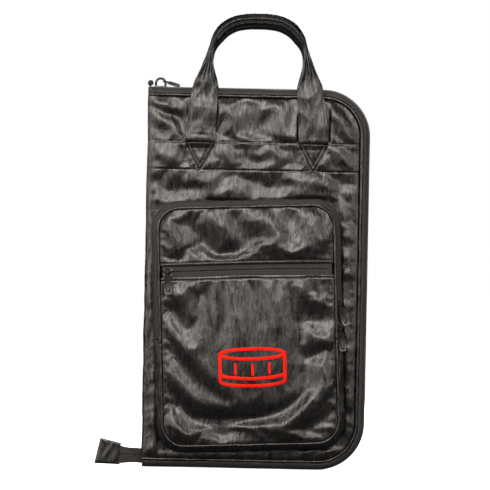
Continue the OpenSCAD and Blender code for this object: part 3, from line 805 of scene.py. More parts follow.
def spread(start, end, step, fine_step, spans):
    """Places from start to end, closer together inside the spans."""
    stops = [start]
    while stops[-1] < end:
        close = any(a <= stops[-1] <= b for a, b in spans)
        stops.append(stops[-1] + (fine_step if close else step))
    stops = np.array(stops)
    return start + (stops - start) * (end - start) / (stops[-1] - start)


def half_leather(name, side, relief, material, seed):
    """The leather of one half with half of the spine, as one sheet bent round the fold."""
    step = 2.0
    spine_half = HALF_D - FOLD_R
    arc = FOLD_R * math.pi / 2
    face = (RIGHT - RIM) - (SPINE_X + FOLD_R)
    middles = [HANDLE_X + way * STRAP_SPAN / 2 - SPINE_X - FOLD_R for way in (-1, 1)]
    straps = [(middle - STRAP_W / 2 - 2, middle + STRAP_W / 2 + 2) for middle in middles]
    s = np.concatenate([
        np.linspace(0, spine_half, 12, endpoint=False),
        spine_half + np.linspace(0, arc, 8, endpoint=False),
        spine_half + arc + spread(0, face, step, 1.0, straps),
    ])
    tall = PANEL_HIGH - PANEL_LOW
    band = [(BAND_LOW - PANEL_LOW - 3, BAND_HIGH - PANEL_LOW + 3)]
    t = spread(0, tall, step, 1.0, band) / tall
    t = np.unique(np.concatenate([t, [0.0004, 0.0012, 0.0022, 0.9978, 0.9988, 0.9996]]))
    s, t = np.meshgrid(s, t, indexing="ij")
    angle = np.clip((s - spine_half) / FOLD_R, 0, math.pi / 2)
    flat = np.clip(s - spine_half - arc, 0, None)
    on_face = np.clip((s - spine_half) / (arc + 4), 0, 1)
    low = FOOT + 5 + (RIM - 5) * on_face
    high = TOP - 0.6 - (RIM - 0.6) * on_face ** 2
    z = low + t * (high - low)
    # the right corners are round, so each row ends on the panel's outline
    r = CORNER - RIM
    over = np.clip(np.maximum(z - (TOP - CORNER), FOOT + CORNER - z), 0, r)
    pull = r - np.sqrt(np.clip(r * r - over * over, 0, None))
    flat = flat * (1 - pull / face)
    x = SPINE_X + FOLD_R - FOLD_R * np.cos(angle) + flat
    y = spine_half * 0 + np.where(s < spine_half, s, spine_half + FOLD_R * np.sin(angle))
    h = relief(x, z)
    shade = np.clip((s - spine_half) / (arc + 10), 0, 1)
    spine_h = 0.5 * noise(s / 14, z / 40, seed) + 0.35 * crumple(z, s, seed + 1, 16, 30)
    h = spine_h * (1 - shade) * np.clip(s / 14 + 0.25, 0, 1) + h * shade
    points = np.stack([x - h * np.cos(angle), side * (y + h * np.sin(angle)), z], 2)
    return grid_object(name, points, material, flip=side > 0)


front_leather = half_leather("front_leather", -1, front_relief, LEATHER, 91)
thicken(front_leather, 1.4, SUEDE)
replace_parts(front_leather, "front_panel", "front_carry_band", "front_top_panel", "front_padding",
            "spine_panel", "spine_padding")
back_leather = half_leather("back_leather", 1, back_relief, BACK_LEATHER, 91)
thicken(back_leather, 1.4, SUEDE)
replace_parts(back_leather, "back_panel", "back_carry_band", "back_top_panel", "back_padding")


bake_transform(front_leather)
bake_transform(back_leather)


# ---------- rim: gusset, piping and main zip of each half ----------

def wave(amount, length, seed):
    """A slow wobble for a swept strip."""
    def shift(at, column):
        column = column.astype(float)
        return (amount * noise(at / length + 0 * column, column * 0.37, seed),
                amount * 0.6 * noise(at / length + 31.3 + 0 * column, column * 0.37, seed + 1))
    return shift


def gusset_profile():
    turn = 13.0
    rise = HALF_D - 0.6 - turn
    a = np.linspace(0, math.pi / 2, 12)
    outer = np.stack([-8 + 8 * np.sin(a), turn + rise * np.cos(a)], 1)
    lip = [(0, ZIP_HALF + 1.2), (-0.5, ZIP_HALF + 0.2), (-1.4, ZIP_HALF + 0.4)]
    inner = np.stack([-8 + 6.4 * np.sin(a), turn + (rise - 1.6) * np.cos(a)], 1)[::-1]
    return np.concatenate([outer, lip, inner])


def tape_profile(half, drop, thick):
    """Flat tape that turns down where its coil is sewn under the edge."""
    return [(-drop - thick, half), (-drop, half), (-drop + 0.05, half * 0.6), (-drop, 2.4),
            (-drop - 0.02, 1.0), (-drop - 0.5, 0.38), (-drop - 1.2, 0.36), (-drop - thick - 0.2, 1.0),
            (-drop - thick, 2.4)]


def coil_parts(place, length, pitch, outer, width, thick):
    """Turns of a zip coil; place(along, u, v) puts a point u out from the tape, v from the zip's middle."""
    wire = 0.42
    turn = np.linspace(0, 2 * math.pi, 10, endpoint=False)
    mid_u = outer - thick / 2 + (thick / 2 - wire) * np.cos(turn)
    mid_v = 0.35 + width / 2 + (width / 2 - wire) * np.sin(turn)
    ring = []
    for cu, cv, angle in zip(mid_u, mid_v, turn):
        for a in np.linspace(0, 2 * math.pi, 4, endpoint=False):
            ring.append((wire * math.sin(a), cu + wire * math.cos(a) * math.cos(angle),
                         cv + wire * math.cos(a) * math.sin(angle)))
    ring = np.array(ring)
    along = ((np.arange(int(length / pitch)) + 0.5) * pitch)[:, None] + ring[None, :, 0]
    u, v = (np.broadcast_to(ring[:, i], along.shape) for i in (1, 2))
    base = grid_faces(10, 4, close_rows=True, close_cols=True)
    shift = (np.arange(len(along)) * len(ring))[:, None, None]
    return [(place(along, u, v).reshape(-1, 3), (base[None] + shift).reshape(-1, 4))]


def rim_point(side, start):
    path, normal, at = rim_path(1.0, start)

    def place(along, u, v):
        x = np.interp(along, at, path[:, 0])
        z = np.interp(along, at, path[:, 1])
        nx = np.interp(along, at, normal[:, 0])
        nz = np.interp(along, at, normal[:, 1])
        return np.stack([x + nx * u, side * v, z + nz * u], -1)
    return place, at[-1]


RIM_START = SPINE_X + 0.8


def dress_half(prefix, side, body):
    gusset = rim_sweep(prefix + "_gusset_web", side, gusset_profile(), WEB, 2.5, RIM_START,
                       wobble=wave(0.35, 26, 5 + side))
    cap_ends(gusset)
    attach(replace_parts(gusset, prefix + "_gusset"), body)
    cord = rim_sweep(prefix + "_piping_cord", side, circle_profile(-RIM + 1.9, HALF_D - 0.7, 1.9, 12),
                     PIPING_LEATHER, 2.0, RIM_START, wobble=wave(0.35, 9, 15 + side))
    cap_ends(cord)
    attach(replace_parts(cord, prefix + "_piping"), body)
    tape = rim_sweep(prefix + "_tape_strip", side, tape_profile(ZIP_HALF + 0.6, TAPE_DROP, 0.8), TAPE, 2.5,
                     RIM_START, wobble=wave(0.12, 18, 25 + side))
    cap_ends(tape)
    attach(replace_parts(tape, prefix + "_zip_tape"), body)
    place, length = rim_point(side, LEFT + 8)
    coil = merged(prefix + "_coil_turns", coil_parts(place, length, 2.2, -TAPE_DROP - 0.9, 2.8, 2.2), COIL)
    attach(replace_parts(coil, prefix + "_zip_coil"), body)


dress_half("front", -1, "front_half")
dress_half("back", 1, "back_half")


# ---------- front pocket ----------

POCKET_FACE_V = POCKET_D
FACE_INSET = 1.6
SLOT_LOW, SLOT_HIGH = FACE_ZIP_Q - FACE_SLOT / 2, FACE_ZIP_Q + FACE_SLOT / 2

POCKET_FOLDS = [
    # above the face zip: a row of soft dents pushed in from behind
    (-98, 132, -84, 96, 9, 2.2), (-74, 128, -58, 108, 12, -2.8), (-44, 138, -22, 112, 11, 2.6),
    (-12, 132, 4, 108, 10, -2.2), (14, 140, 40, 108, 11, 2.6), (52, 136, 62, 104, 10, -2.4),
    (78, 138, 92, 106, 10, 2.0), (-52, 100, -20, 88, 9, -1.6), (20, 96, 60, 86, 9, 1.6),
    # below the face zip
    (-88, 44, -40, 58, 10, 2.0), (-96, 22, -66, 4, 11, -2.6), (-30, 56, -14, 10, 12, 1.7),
    (4, 58, 16, 8, 9, -1.4), (30, 56, 36, 2, 12, 2.5), (58, 54, 86, 26, 13, 1.8),
    (70, 16, 100, 6, 10, -2.8), (76, -8, 100, -18, 9, 2.4), (-86, -6, -50, -26, 14, 1.5),
    # under the flap's fold
    (-98, -58, -72, -88, 12, 1.8), (-90, -104, -40, -112, 13, -2.4), (-96, -118, -78, -136, 9, 2.6),
    (-20, -104, 34, -112, 16, -1.8), (40, -128, 74, -92, 12, 2.8), (70, -130, 98, -108, 9, -1.8),
    (78, -52, 98, -74, 10, 1.9), (60, -30, 96, -42, 10, -1.6), (-60, -90, 10, -84, 14, 1.0),
]


pull_low, pull_high = node_box("face_pull")
PULL_P = (pull_low[0] + pull_high[0]) / 2 - POCKET_CENTRE[0] + joint("face_zip_slide")["range_m"][1] / MM - 1.5
PULL_FOOT_Q = FACE_ZIP_Q - 30
PULL_CLEAR_V = -HALF_D - pull_high[1] - 0.8


def edge_distance(p, q):
    """Distance inside the pocket's rounded outline."""
    w, h, r = POCKET_W / 2 - FACE_INSET, POCKET_H / 2 - FACE_INSET, POCKET_R - FACE_INSET
    dx, dy = np.abs(p) - (w - r), np.abs(q) - (h - r)
    outside = np.hypot(np.maximum(dx, 0), np.maximum(dy, 0))
    return r - outside - np.minimum(np.maximum(dx, dy), 0)


def pocket_start(p, q):
    """The pocket's folds before the simulation."""
    wp = p + 4 * noise(p / 30, q / 30, 301)
    wq = q + 4 * noise(p / 30, q / 30, 302)
    edge = np.clip(edge_distance(p, q), 0, None)
    h = 1.25 * strokes(wp, wq, POCKET_FOLDS) * np.clip(edge / 14, 0, 1) ** 0.7
    h = h + 1.3 * noise(wp / 36, wq / 44, 303) * np.clip(edge / 16, 0, 1)
    beside_slot = np.abs(q - FACE_ZIP_Q) - FACE_SLOT / 2
    return h * np.clip(beside_slot / 14, 0, 1)


def pocket_sewn(p, q):
    return (edge_distance(p, q) < 3) | (np.abs(q - FACE_ZIP_Q) < FACE_SLOT / 2 + 5)


POCKET_SHEET = settled_sheet("pocket_settle", (-POCKET_W / 2, -POCKET_H / 2), (POCKET_W / 2, POCKET_H / 2), 2.5,
                             pocket_start, pocket_sewn)


def pocket_height(p, q):
    """How far the pocket's leather stands in front of the bag."""
    edge = np.clip(edge_distance(p, q), 0, None)
    near_slot = np.abs(np.abs(q - FACE_ZIP_Q) - FACE_SLOT / 2)
    fine_folds = 0.25 * crumple(p, q, 304, 17, 44, 0.15) + 0.12 * crumple(p, q, 305, 7, 20, -0.3)
    h = POCKET_SHEET(p, q) + fine_folds * np.clip(near_slot / 14, 0, 1)
    lip = np.where(near_slot < 3.7, 0.55, 0.0) + valley(near_slot - 4.1, 0.9, 0.7)
    pucker = 0.16 * noise(p / 3.4, q / 9, 306) * np.exp(-near_slot / 6)
    rim = 0.22 * noise((p + q) / 4.5, (p - q) / 4.5, 308) * np.exp(-edge / 5)
    pillow = 1.6 * (1 - np.exp(-edge / 20)) - 1.4 * np.exp(-edge / 3.5)
    pillow = pillow + 3.6 * np.exp(-((p - 8) / 80) ** 2 - ((q + 34) / 66) ** 2) * np.clip(edge / 20, 0, 1)
    v = POCKET_FACE_V - 0.6 + pillow + h + lip + pucker + rim
    # pressed flat where the pull hangs when the face zip is open
    pressed = np.exp(-((p - PULL_P) / 12) ** 4) * np.clip((q - PULL_FOOT_Q + 8) / 10, 0, 1) * (q < SLOT_LOW)
    return v - np.clip(v - PULL_CLEAR_V, 0, None) * pressed


def half_width_at(q):
    w, h, r = POCKET_W / 2 - FACE_INSET, POCKET_H / 2 - FACE_INSET, POCKET_R - FACE_INSET
    over = np.clip(np.abs(q) - (h - r), 0, r)
    return w - r + np.sqrt(np.clip(r * r - over * over, 0, None))


def slot_wave(p):
    """How far the face zip bows up between its ends."""
    return 1.6 * (1 - (p / 98) ** 2) + 0.5 * noise(p / 55, 0 * p, 311)


def pocket_leather(name, low_q, high_q, slot_at_top, material):
    """A face of the pocket with the edge beside the face zip rolled under."""
    step = 1.6
    s = np.sin(np.linspace(-1, 1, int(POCKET_W / step)) * math.pi / 2 * 0.75) / math.sin(math.pi / 2 * 0.75)
    turned = np.array([1.6, 0.7, 0.1, -0.1, 0.1, 0.5, 1.0, 1.7, 2.5, 3.2, 3.7, 4.1, 4.5, 5.1, 6.0])
    drop = np.array([2.6, 2.6, 2.3, 1.6, 0.9, 0.4, 0.15, 0.05, 0, 0, 0, 0, 0, 0, 0])
    far = high_q - low_q
    rest = np.linspace(7.2, far, int(far / step))
    extra = far - np.array([0.5, 0.15])
    away = np.concatenate([turned, np.sort(np.concatenate([rest, extra]))])
    fall = np.concatenate([drop, np.zeros(len(away) - len(drop))])
    s, away = np.meshgrid(s, away, indexing="ij")
    fall = np.broadcast_to(fall, s.shape)
    edge_q = high_q if slot_at_top else low_q
    q = edge_q - away if slot_at_top else edge_q + away
    p = s * half_width_at(q)
    v = pocket_height(p, np.where(fall > 0, edge_q, q)) - fall
    q = q + slot_wave(p) * np.exp(-np.clip(away, 0, None) / 14)
    return grid_object(name, pocket_point(p, v, q), material, flip=slot_at_top)


pocket_low = pocket_leather("pocket_leather_low", -POCKET_H / 2 + FACE_INSET, SLOT_LOW, True, POCKET_LEATHER)
thicken(pocket_low, 1.2, SUEDE)
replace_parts(pocket_low, "pocket_lower_face", "flap_lower_face")
pocket_high = pocket_leather("pocket_leather_high", SLOT_HIGH, POCKET_H / 2 - FACE_INSET, False, POCKET_LEATHER)
thicken(pocket_high, 1.2, SUEDE)
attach(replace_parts(pocket_high, "flap_upper_face"), "pocket_flap")


def blend_at_fold(obj, reach=5.0):
    low, high = (pocket_point(0, POCKET_FACE_V, FOLD_Q + s * reach) * MM for s in (-1, 1))
    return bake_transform(obj)


blend_at_fold(pocket_low)

FIXED_TOP, FLAP_FOOT = FOLD_Q - 2.2, FOLD_Q + 2.2
lower_wall = pocket_sweep("pocket_wall", [(0.2, 19.4), (0.8, 15), (1.1, 9), (0.5, 3.4), (-1.2, 3.4), (-1.2, 19.4)],
                          POCKET_LEATHER, high_q=FIXED_TOP, wobble=wave(0.5, 12, 321))
cap_ends(lower_wall)
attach(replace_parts(lower_wall, "pocket_lower_gusset"), "front_half")

base_profile = [(0.9, 7.4), (2.6, 6.2), (6.2, 3.2), (8.8, 1.3), (9.2, 0.4), (6.6, 0.2), (3.0, 3.8), (0.2, 6.2)]
base_web = pocket_sweep("pocket_base_web", base_profile, WEB, low_q=FIXED_TOP, wobble=wave(0.45, 18, 331))
base_leather = pocket_sweep("pocket_base_leather", base_profile, POCKET_LEATHER, high_q=FIXED_TOP,
                            wobble=wave(0.6, 10, 333))
for band, slot_name in ((base_web, "gusset_web"), (base_leather, "leather")):
    cap_ends(band)
    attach(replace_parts(band, "pocket_base_gusset"), "front_half")

PIPING_V = POCKET_D - 1.1
PIPING_END = FOLD_Q - 6
for name, low_q, high_q, node in (("pocket_piping_low", None, PIPING_END - 0.1, "pocket_lower_piping"),
                                  ("pocket_piping_high", PIPING_END + 0.1, None, "flap_piping")):
    tube = pocket_sweep(name, circle_profile(0, PIPING_V, 1.7, 12), PIPING_LEATHER, low_q, high_q,
                        wobble=wave(0.3, 9, 341))
    cap_ends(tube)
    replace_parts(tube, node)
    if high_q is None:
        blend_at_fold(tube)
    else:
        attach(tube, "front_half")

flap_tape = pocket_sweep("flap_tape_strip", [(0.2, 19.3), (0.35, 16), (0.2, 13.4), (-0.3, 11.5), (-1.1, 11.5),
                                             (-0.7, 13.4), (-0.6, 19.3)], TAPE, low_q=FLAP_FOOT)
inner_tape = pocket_sweep("pocket_tape_strip", [(-0.3, 10.5), (0.2, 8.6), (0.35, 6), (0.2, 3.4), (-0.6, 3.4),
                                                (-0.7, 8.6), (-1.1, 10.5)], TAPE, low_q=FLAP_FOOT)
for strip, node, body in ((flap_tape, "flap_zip_tape", "pocket_flap"),
                          (inner_tape, "pocket_inner_tape", "front_half")):
    cap_ends(strip)
    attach(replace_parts(strip, node), body)

path, normal, run = pocket_path(low_q=FLAP_FOOT, step=0.5)


def pocket_coil_place(side):
    def place(along, u, v):
        p, q, nx, nz = (np.interp(along, run - run[0], c) for c in (path[:, 0], path[:, 1],
                                                                  normal[:, 0], normal[:, 1]))
        return pocket_point(p + nx * u, POCKET_ZIP_V + side * v, q + nz * u)
    return place


def coil_length():
    return float(np.linalg.norm(np.diff(path, axis=0), axis=1).sum()) - 4


run = np.concatenate([[0], np.cumsum(np.linalg.norm(np.diff(path, axis=0), axis=1))])
for side, name, node, body in ((1, "flap_coil_turns", "flap_zip_coil", "pocket_flap"),
                               (-1, "pocket_coil_turns", "pocket_inner_coil", "front_half")):
    turns = merged(name, coil_parts(pocket_coil_place(side), coil_length(), 2.0, -0.9, 2.6, 2.0), COIL)
    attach(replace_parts(turns, node), body)


# ---------- face zip ----------

FACE_TAPE_V = -node_box("face_zip_tapes")[0][1] - HALF_D
FACE_ZIP_HALF = POCKET_W / 2 - 4


def face_strips():
    """The two tapes of the face zip, turned down where their coils meet."""
    across = np.array([0.36, 0.42, 0.8, 1.6, 2.6, 4.2, 6.0, 8.0, 9.6])
    depth = np.array([-1.2, -0.5, -0.08, 0.0, -0.05, 0.0, 0.02, 0.0, 0.0])
    p = np.linspace(-FACE_ZIP_HALF, FACE_ZIP_HALF, 110)
    parts = []
    for side in (-1, 1):
        pp, aa = np.meshgrid(p, across, indexing="ij")
        v = FACE_TAPE_V + depth + 0.10 * noise(pp / 9, aa / 6, 351 + side) + 0 * pp
        q = FACE_ZIP_Q + side * aa + slot_wave(pp) * 0.8
        strip = grid_object("face_tape_" + ("low", "high")[side > 0], pocket_point(pp, v, q), TAPE,
                            flip=side < 0, uv=np.stack([pp, aa], 2))
        thicken(strip, 0.7)
        parts.append(strip)
    return parts


for strip in face_strips():
    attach(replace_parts(strip, "face_zip_tapes"), "pocket_flap")


def face_coil_place(side):
    def place(along, u, v):
        p = along - FACE_ZIP_HALF + 4
        return pocket_point(p, FACE_TAPE_V + u, FACE_ZIP_Q + side * v + 0.8 * slot_wave(p))
    return place


face_turns = merged("face_coil_turns", [part for side in (-1, 1) for part in coil_parts(
    face_coil_place(side), 2 * FACE_ZIP_HALF - 8, 2.0, -0.9, 2.6, 2.0)], COIL)
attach(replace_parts(face_turns, "face_zip_coils"), "pocket_flap")


def pouch():
    """The cloth pouch behind the face zip."""
    low, high = node_box("face_zip_pouch")
    v0 = -high[1] - HALF_D
    p, q = np.meshgrid(np.linspace(-POCKET_W / 2 + 6, POCKET_W / 2 - 6, 90), np.linspace(-8.8, 85.2, 44),
                       indexing="ij")
    v = v0 + 0.9 * noise(p / 22, q / 26, 361) + 0.3 * crumple(p, q, 362, 10, 26, 0.3)
    return grid_object("pouch_cloth", pocket_point(p, v, q), LINING, flip=True)


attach(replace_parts(thicken(pouch(), 0.6), "face_zip_pouch"), "pocket_flap")


# ---------- emblem: a plain drum in satin stitch ----------

emblem_low, emblem_high = node_box("emblem")
EMBLEM_P, EMBLEM_Q = 4.0, -51.0
EMBLEM_W, EMBLEM_H, EMBLEM_LINE, DRUM_OVAL = 84.0, 50.0, 4.4, 17.0


def emblem_paths():
    """Centre lines of the drum, each with its width, about the emblem's middle."""
    w, h = EMBLEM_W - EMBLEM_LINE, DRUM_OVAL - EMBLEM_LINE
    top = (EMBLEM_H - DRUM_OVAL) / 2
    ring = np.linspace(0, 2 * math.pi, 90)
    half = np.linspace(math.pi, 2 * math.pi, 60)
    paths = [(np.stack([w / 2 * np.cos(ring), top + h / 2 * np.sin(ring)], 1), EMBLEM_LINE)]
    for level in (-top, -top + 9):
        paths.append((np.stack([w / 2 * np.cos(half), level + h / 2 * np.sin(half)], 1), EMBLEM_LINE))
    for side in (-1, 1):
        paths.append((np.array([[side * w / 2, -top], [side * w / 2, top]]), EMBLEM_LINE))
    for i in (-1, 0, 1):
        mid = 4.5 - 7.6 + 1.4 * abs(i)
        paths.append((np.array([[i * EMBLEM_W / 4, mid - 7], [i * EMBLEM_W / 4, mid + 7]]), EMBLEM_LINE * 0.8))
    return paths


def satin(points, width, seed):
    """Threads laid side by side across a line on the pocket's face."""
    lengths = np.concatenate([[0], np.cumsum(np.linalg.norm(np.diff(points, axis=0), axis=1))])
    count = int(lengths[-1] / 0.52)
    at = (np.arange(count) + 0.5) * lengths[-1] / count
    mid = np.stack([np.interp(at, lengths, points[:, i]) for i in (0, 1)], 1)
    ahead = np.stack([np.interp(np.minimum(at + 0.3, lengths[-1]), lengths, points[:, i]) for i in (0, 1)], 1)
    back = np.stack([np.interp(np.maximum(at - 0.3, 0), lengths, points[:, i]) for i in (0, 1)], 1)
    along = (ahead - back) / np.linalg.norm(ahead - back, axis=1)[:, None]
    lean = along * 0.35 + np.stack([-along[:, 1], along[:, 0]], 1)
    lean /= np.linalg.norm(lean, axis=1)[:, None]
    ragged = width / 2 * (1 + 0.06 * np.random.RandomState(seed).randn(count))
    t = np.linspace(-1, 1, 7)
    a = np.linspace(0, 2 * math.pi, 5, endpoint=False)
    crown = np.sqrt(1 - 0.92 * t * t)
    p = EMBLEM_P + mid[:, 0, None] + lean[:, 0, None] * ragged[:, None] * t
    q = EMBLEM_Q + mid[:, 1, None] + lean[:, 1, None] * ragged[:, None] * t
    base = pocket_height(p, q)
    thick = 0.36
    pp = p[:, :, None] - lean[:, None, 1, None] * thick * np.cos(a)
    qq = q[:, :, None] + lean[:, None, 0, None] * thick * np.cos(a)
    vv = base[:, :, None] + 0.15 + 0.75 * crown[None, :, None] + thick * np.sin(a)
    verts = pocket_point(pp, vv, qq)
    faces = grid_faces(7, 5, close_cols=True)
    shift = (np.arange(count) * 35)[:, None, None]
    return verts.reshape(-1, 3), (faces[None] + shift).reshape(-1, 4)


def emblem_ground(points, width):
    """The raised felt under the threads."""
    tangent = np.gradient(points, axis=0)
    tangent /= np.linalg.norm(tangent, axis=1)[:, None]
    normal = np.stack([-tangent[:, 1], tangent[:, 0]], 1)
    t = np.linspace(-1, 1, 7)
    p = EMBLEM_P + points[:, 0, None] + normal[:, 0, None] * t * width / 2 * 0.94
    q = EMBLEM_Q + points[:, 1, None] + normal[:, 1, None] * t * width / 2 * 0.94
    v = pocket_height(p, q) + 0.62 * np.sqrt(1 - 0.98 * t * t) + 0.02
    return pocket_point(p, v, q).reshape(-1, 3), grid_faces(len(points), 7, flip=True)


def fine(points):
    """More points along a path, so that what is laid on it follows the leather."""
    return np.concatenate([np.linspace(a, b, 6, endpoint=False) for a, b in zip(points[:-1], points[1:])]
                          + [points[-1:]])


threads = merged("emblem_threads", [satin(fine(path_), width, 371 + i)
                                    for i, (path_, width) in enumerate(emblem_paths())]
                 + [emblem_ground(fine(path_), width) for path_, width in emblem_paths()], RED)
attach(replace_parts(threads, "emblem"), "front_half")


# ---------- handles ----------

# one leg from the carry band to the middle of the grip: sideways, height, half width,
# half thickness, and how boxy the section is
HANDLE_STATIONS = [
    (-70, 402.3, 18.5, 1.7, 7), (-69, 420, 18.2, 1.8, 7), (-67, 446, 17.4, 1.9, 7),
    (-64.4, 470, 15.8, 2.1, 6), (-63.2, 480, 13.4, 2.6, 5), (-62.4, 490, 9.8, 3.6, 3.6),
    (-61.6, 500, 6.8, 4.6, 2.8), (-59.6, 511, 4.6, 5.2, 2.4), (-56.5, 521, 4.4, 5.6, 2.2),
    (-51.0, 532, 6.6, 7.0, 2.1), (-42.0, 543, 7.9, 8.0, 2), (-29.0, 550.3, 8.2, 8.2, 2),
    (-14.5, 553.2, 8.3, 8.3, 2), (0, 553.7, 8.3, 8.3, 2),
]


def smooth_curve(stations, count):
    """A smooth curve through stations, with even steps (Catmull-Rom)."""
    k = np.arange(len(stations))
    fine_t = np.linspace(0, len(stations) - 1, 1500)
    i = np.clip(fine_t.astype(int), 0, len(stations) - 2)
    t = (fine_t - i)[:, None]
    a, b = stations[np.clip(i - 1, 0, None)], stations[i]
    c, d = stations[i + 1], stations[np.clip(i + 2, None, k[-1])]
    curve = 0.5 * (2 * b + (c - a) * t + (2 * a - 5 * b + 4 * c - d) * t ** 2
                   + (3 * b - a - 3 * c + d) * t ** 3)
    lengths = np.concatenate([[0], np.cumsum(np.hypot(*np.diff(curve[:, :2], axis=0).T))])
    at = np.linspace(0, lengths[-1], count)
    return np.stack([np.interp(at, lengths, curve[:, c_]) for c_ in range(stations.shape[1])], 1), at


def handle_shape(seed):
    left = np.array(HANDLE_STATIONS, float)
    right = left[-2::-1] * np.array([-1, 1, 1, 1, 1])
    curve, at = smooth_curve(np.concatenate([left, right]), 290)
    tangent = np.gradient(curve[:, :2], axis=0)
    tangent /= np.linalg.norm(tangent, axis=1)[:, None]
    return curve, at, tangent


def handle_surface(side, seed, across):
    """Rows of points on the front (outer) and back of the handle, for sideways shares across."""
    curve, at, tangent = handle_shape(seed)
    x, z, wide, thick, power = (curve[:, i:i + 1] for i in range(5))
    s = across[None, :]
    bulge = (1 - np.abs(s) ** power) ** (1 / power)
    flat = np.clip((power - 2.2) / 4, 0, 1)
    reach = np.minimum(at, at[-1] - at)[:, None]
    gather = np.exp(-((z - 490) / 20) ** 2) * (z < 530)
    soft = 2.0 * noise(s * wide / 24, at[:, None] / 20, seed) + 0.7 * crumple(s * wide, at[:, None], seed + 1, 9, 26, 0.4)
    soft = soft * np.clip(reach / 20, 0.2, 1) + 1.3 * flat * (1 - s * s)
    pinch = 1.9 * np.cos(s * 8.0 + 0.9 * noise(at[:, None] / 14, 0 * s, seed + 2)) * gather
    crease = -0.6 * np.exp(-((reach - 9) / 1.8) ** 2) * (0.6 + 0.4 * np.cos(4 * s)) * (at[:, None] < 90)
    grip = (reach > 128) * np.clip((reach - 128) / 12, 0, 1)
    seam = (0.6 * np.exp(-((s + 0.45) / 0.12) ** 2) - 2.4 * np.exp(-((s + 0.15) / 0.13) ** 2)) * grip
    wrinkle = 0.30 * crumple(at[:, None], s * 8, seed + 3, 7, 30) * (0.2 + grip)
    hem = -0.75 * np.exp(-((np.abs(s) * wide - wide + 2.4) / 0.8) ** 2) * flat
    front = thick * bulge + soft * (0.5 + 0.5 * flat) + pinch + seam + wrinkle + hem + crease
    rear = thick * bulge + soft * 0.2 + 0.5 * pinch + hem * flat
    # the sewn ends tuck in under the edge of the carry band
    tuck = 1.2 * np.clip(1 - reach / 4, 0, 1) ** 2
    lateral = side * np.stack([tangent[:, 1], -tangent[:, 0]], 1)
    px = HANDLE_X + x + lateral[:, 0:1] * s * wide
    pz = z + lateral[:, 1:2] * s * wide
    y_front = side * (HANDLE_Y + front - tuck)
    y_rear = side * (HANDLE_Y - rear - tuck)
    return px, pz, y_front, y_rear, curve, at


def blend_at_seam(obj):
    """Bakes the object's placement into its mesh."""
    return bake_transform(obj)


def handle(name, side, seed, nodes):
    """A folded strap whose middle is wrapped round a cord; side is -1 in front, 1 behind."""
    t = np.linspace(-1, 1, 27)
    px, pz, y_front, y_rear, curve, at = handle_surface(side, seed, np.sin(t * math.pi / 2))
    front = np.stack([px, y_front, pz], 2)
    rear = np.stack([px, y_rear, pz], 2)[:, -2:0:-1]
    points = np.concatenate([front, rear], 1)
    obj = grid_object(name, points, HANDLE_LEATHER, close_cols=True)
    cap_ends(obj)
    blend_at_seam(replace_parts(obj, *nodes))
    parts = []
    for share in (-0.87, 0.87):
        sx, sz, f, r, curve, at = handle_surface(side, seed, np.array([share]))
        legs = (curve[:, 1] < 488) & (curve[:, 1] > 404)
        middle = np.argmax(curve[:, 1])
        for part in (np.arange(len(at)) < middle, np.arange(len(at)) >= middle):
            keep = legs & part
            for y, out in ((f, side), (r, -side)):
                line = np.stack([sx[keep, 0], y[keep, 0] + out * 0.12, sz[keep, 0]], 1)
                parts += stitch_parts(line, (0, out, 0))
    sx, sz, f, r, curve, at = handle_surface(side, seed, np.array([-0.80]))
    keep = np.minimum(at, at[-1] - at) > 142
    line = np.stack([sx[keep, 0], f[keep, 0] + side * 0.15, sz[keep, 0]], 1)
    parts += stitch_parts(line, (0, side * 0.6, -0.8))
    stitches = merged(name + "_stitches", parts, THREAD)
    blend_at_seam(stitches)


handle("front_handle_leather", -1, 401, ("front_handle_strap", "front_grip_cord"))
handle("rear_handle_leather", 1, 431, ("rear_handle_strap", "rear_grip_cord"))


# ---------- loose ends of the main zip ----------

def rolled_end():
    """The start of the zip tape, rolled up on itself beside the parked slider."""
    low, high = node_box("zip_start_fold")
    cx, cz, r = (low[0] + high[0]) / 2, (low[2] + high[2]) / 2, (high[0] - low[0]) / 2
    angle = np.linspace(-0.5 * math.pi, 3.6 * math.pi, 70)
    radius = np.linspace(r - 0.1, 0.7, 70)
    outer = np.stack([cx - radius * np.cos(angle), cz + radius * np.sin(angle)], 1)
    core = np.maximum(radius - 1.6, 0.02)
    inner = np.stack([cx - core * np.cos(angle), cz + core * np.sin(angle)], 1)
    loop = np.concatenate([outer, inner[::-1]])
    y = np.linspace(low[1], high[1], 16)
    yy, k = np.meshgrid(y, np.arange(len(loop)), indexing="ij")
    wob = 0.25 * noise(yy / 3, k / 9.0, 451)
    x, z = loop[k, 0] + wob, loop[k, 1] + wob
    uv = np.stack([k * 0.45, yy], 2)
    roll = grid_object("rolled_tape_end", np.stack([x, yy, z], 2), TAPE, close_cols=True, uv=uv)
    return cap_ends(roll)


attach(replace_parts(rolled_end(), "zip_start_fold"), "back_half")

tail_low, tail_high = node_box("zip_tail_tape")
tab_low, tab_high = node_box("zip_tail_tab")


def tail_tape():
    """Both tapes of the zip side by side, as they leave the spine."""
    s, t = np.meshgrid(np.linspace(0, 1, 34), np.linspace(0, 1, 21), indexing="ij")
    x = tail_high[0] + 4 - s * (tail_high[0] - tail_low[0] + 6)
    low = tail_low[2] + 0.8 * np.sin(s * 5)
    high = 20.5 + 4.5 * s + 0.6 * np.sin(s * 7 + 1)
    z = low + t * (high - low)
    y = 1.5 * np.sin(s * 3.4) * (t - 0.5) - 0.8 * np.exp(-((t - 0.5) / 0.05) ** 2) * -1
    y = y + 0.35 * noise(s * 5, t * 4, 461)
    strip = grid_object("tail_tape_strip", np.stack([x, y, z], 2), TAPE, uv=np.stack([s * 33, t * 20], 2))
    return thicken(strip, 1.4)


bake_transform(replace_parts(tail_tape(), "zip_tail_tape"))

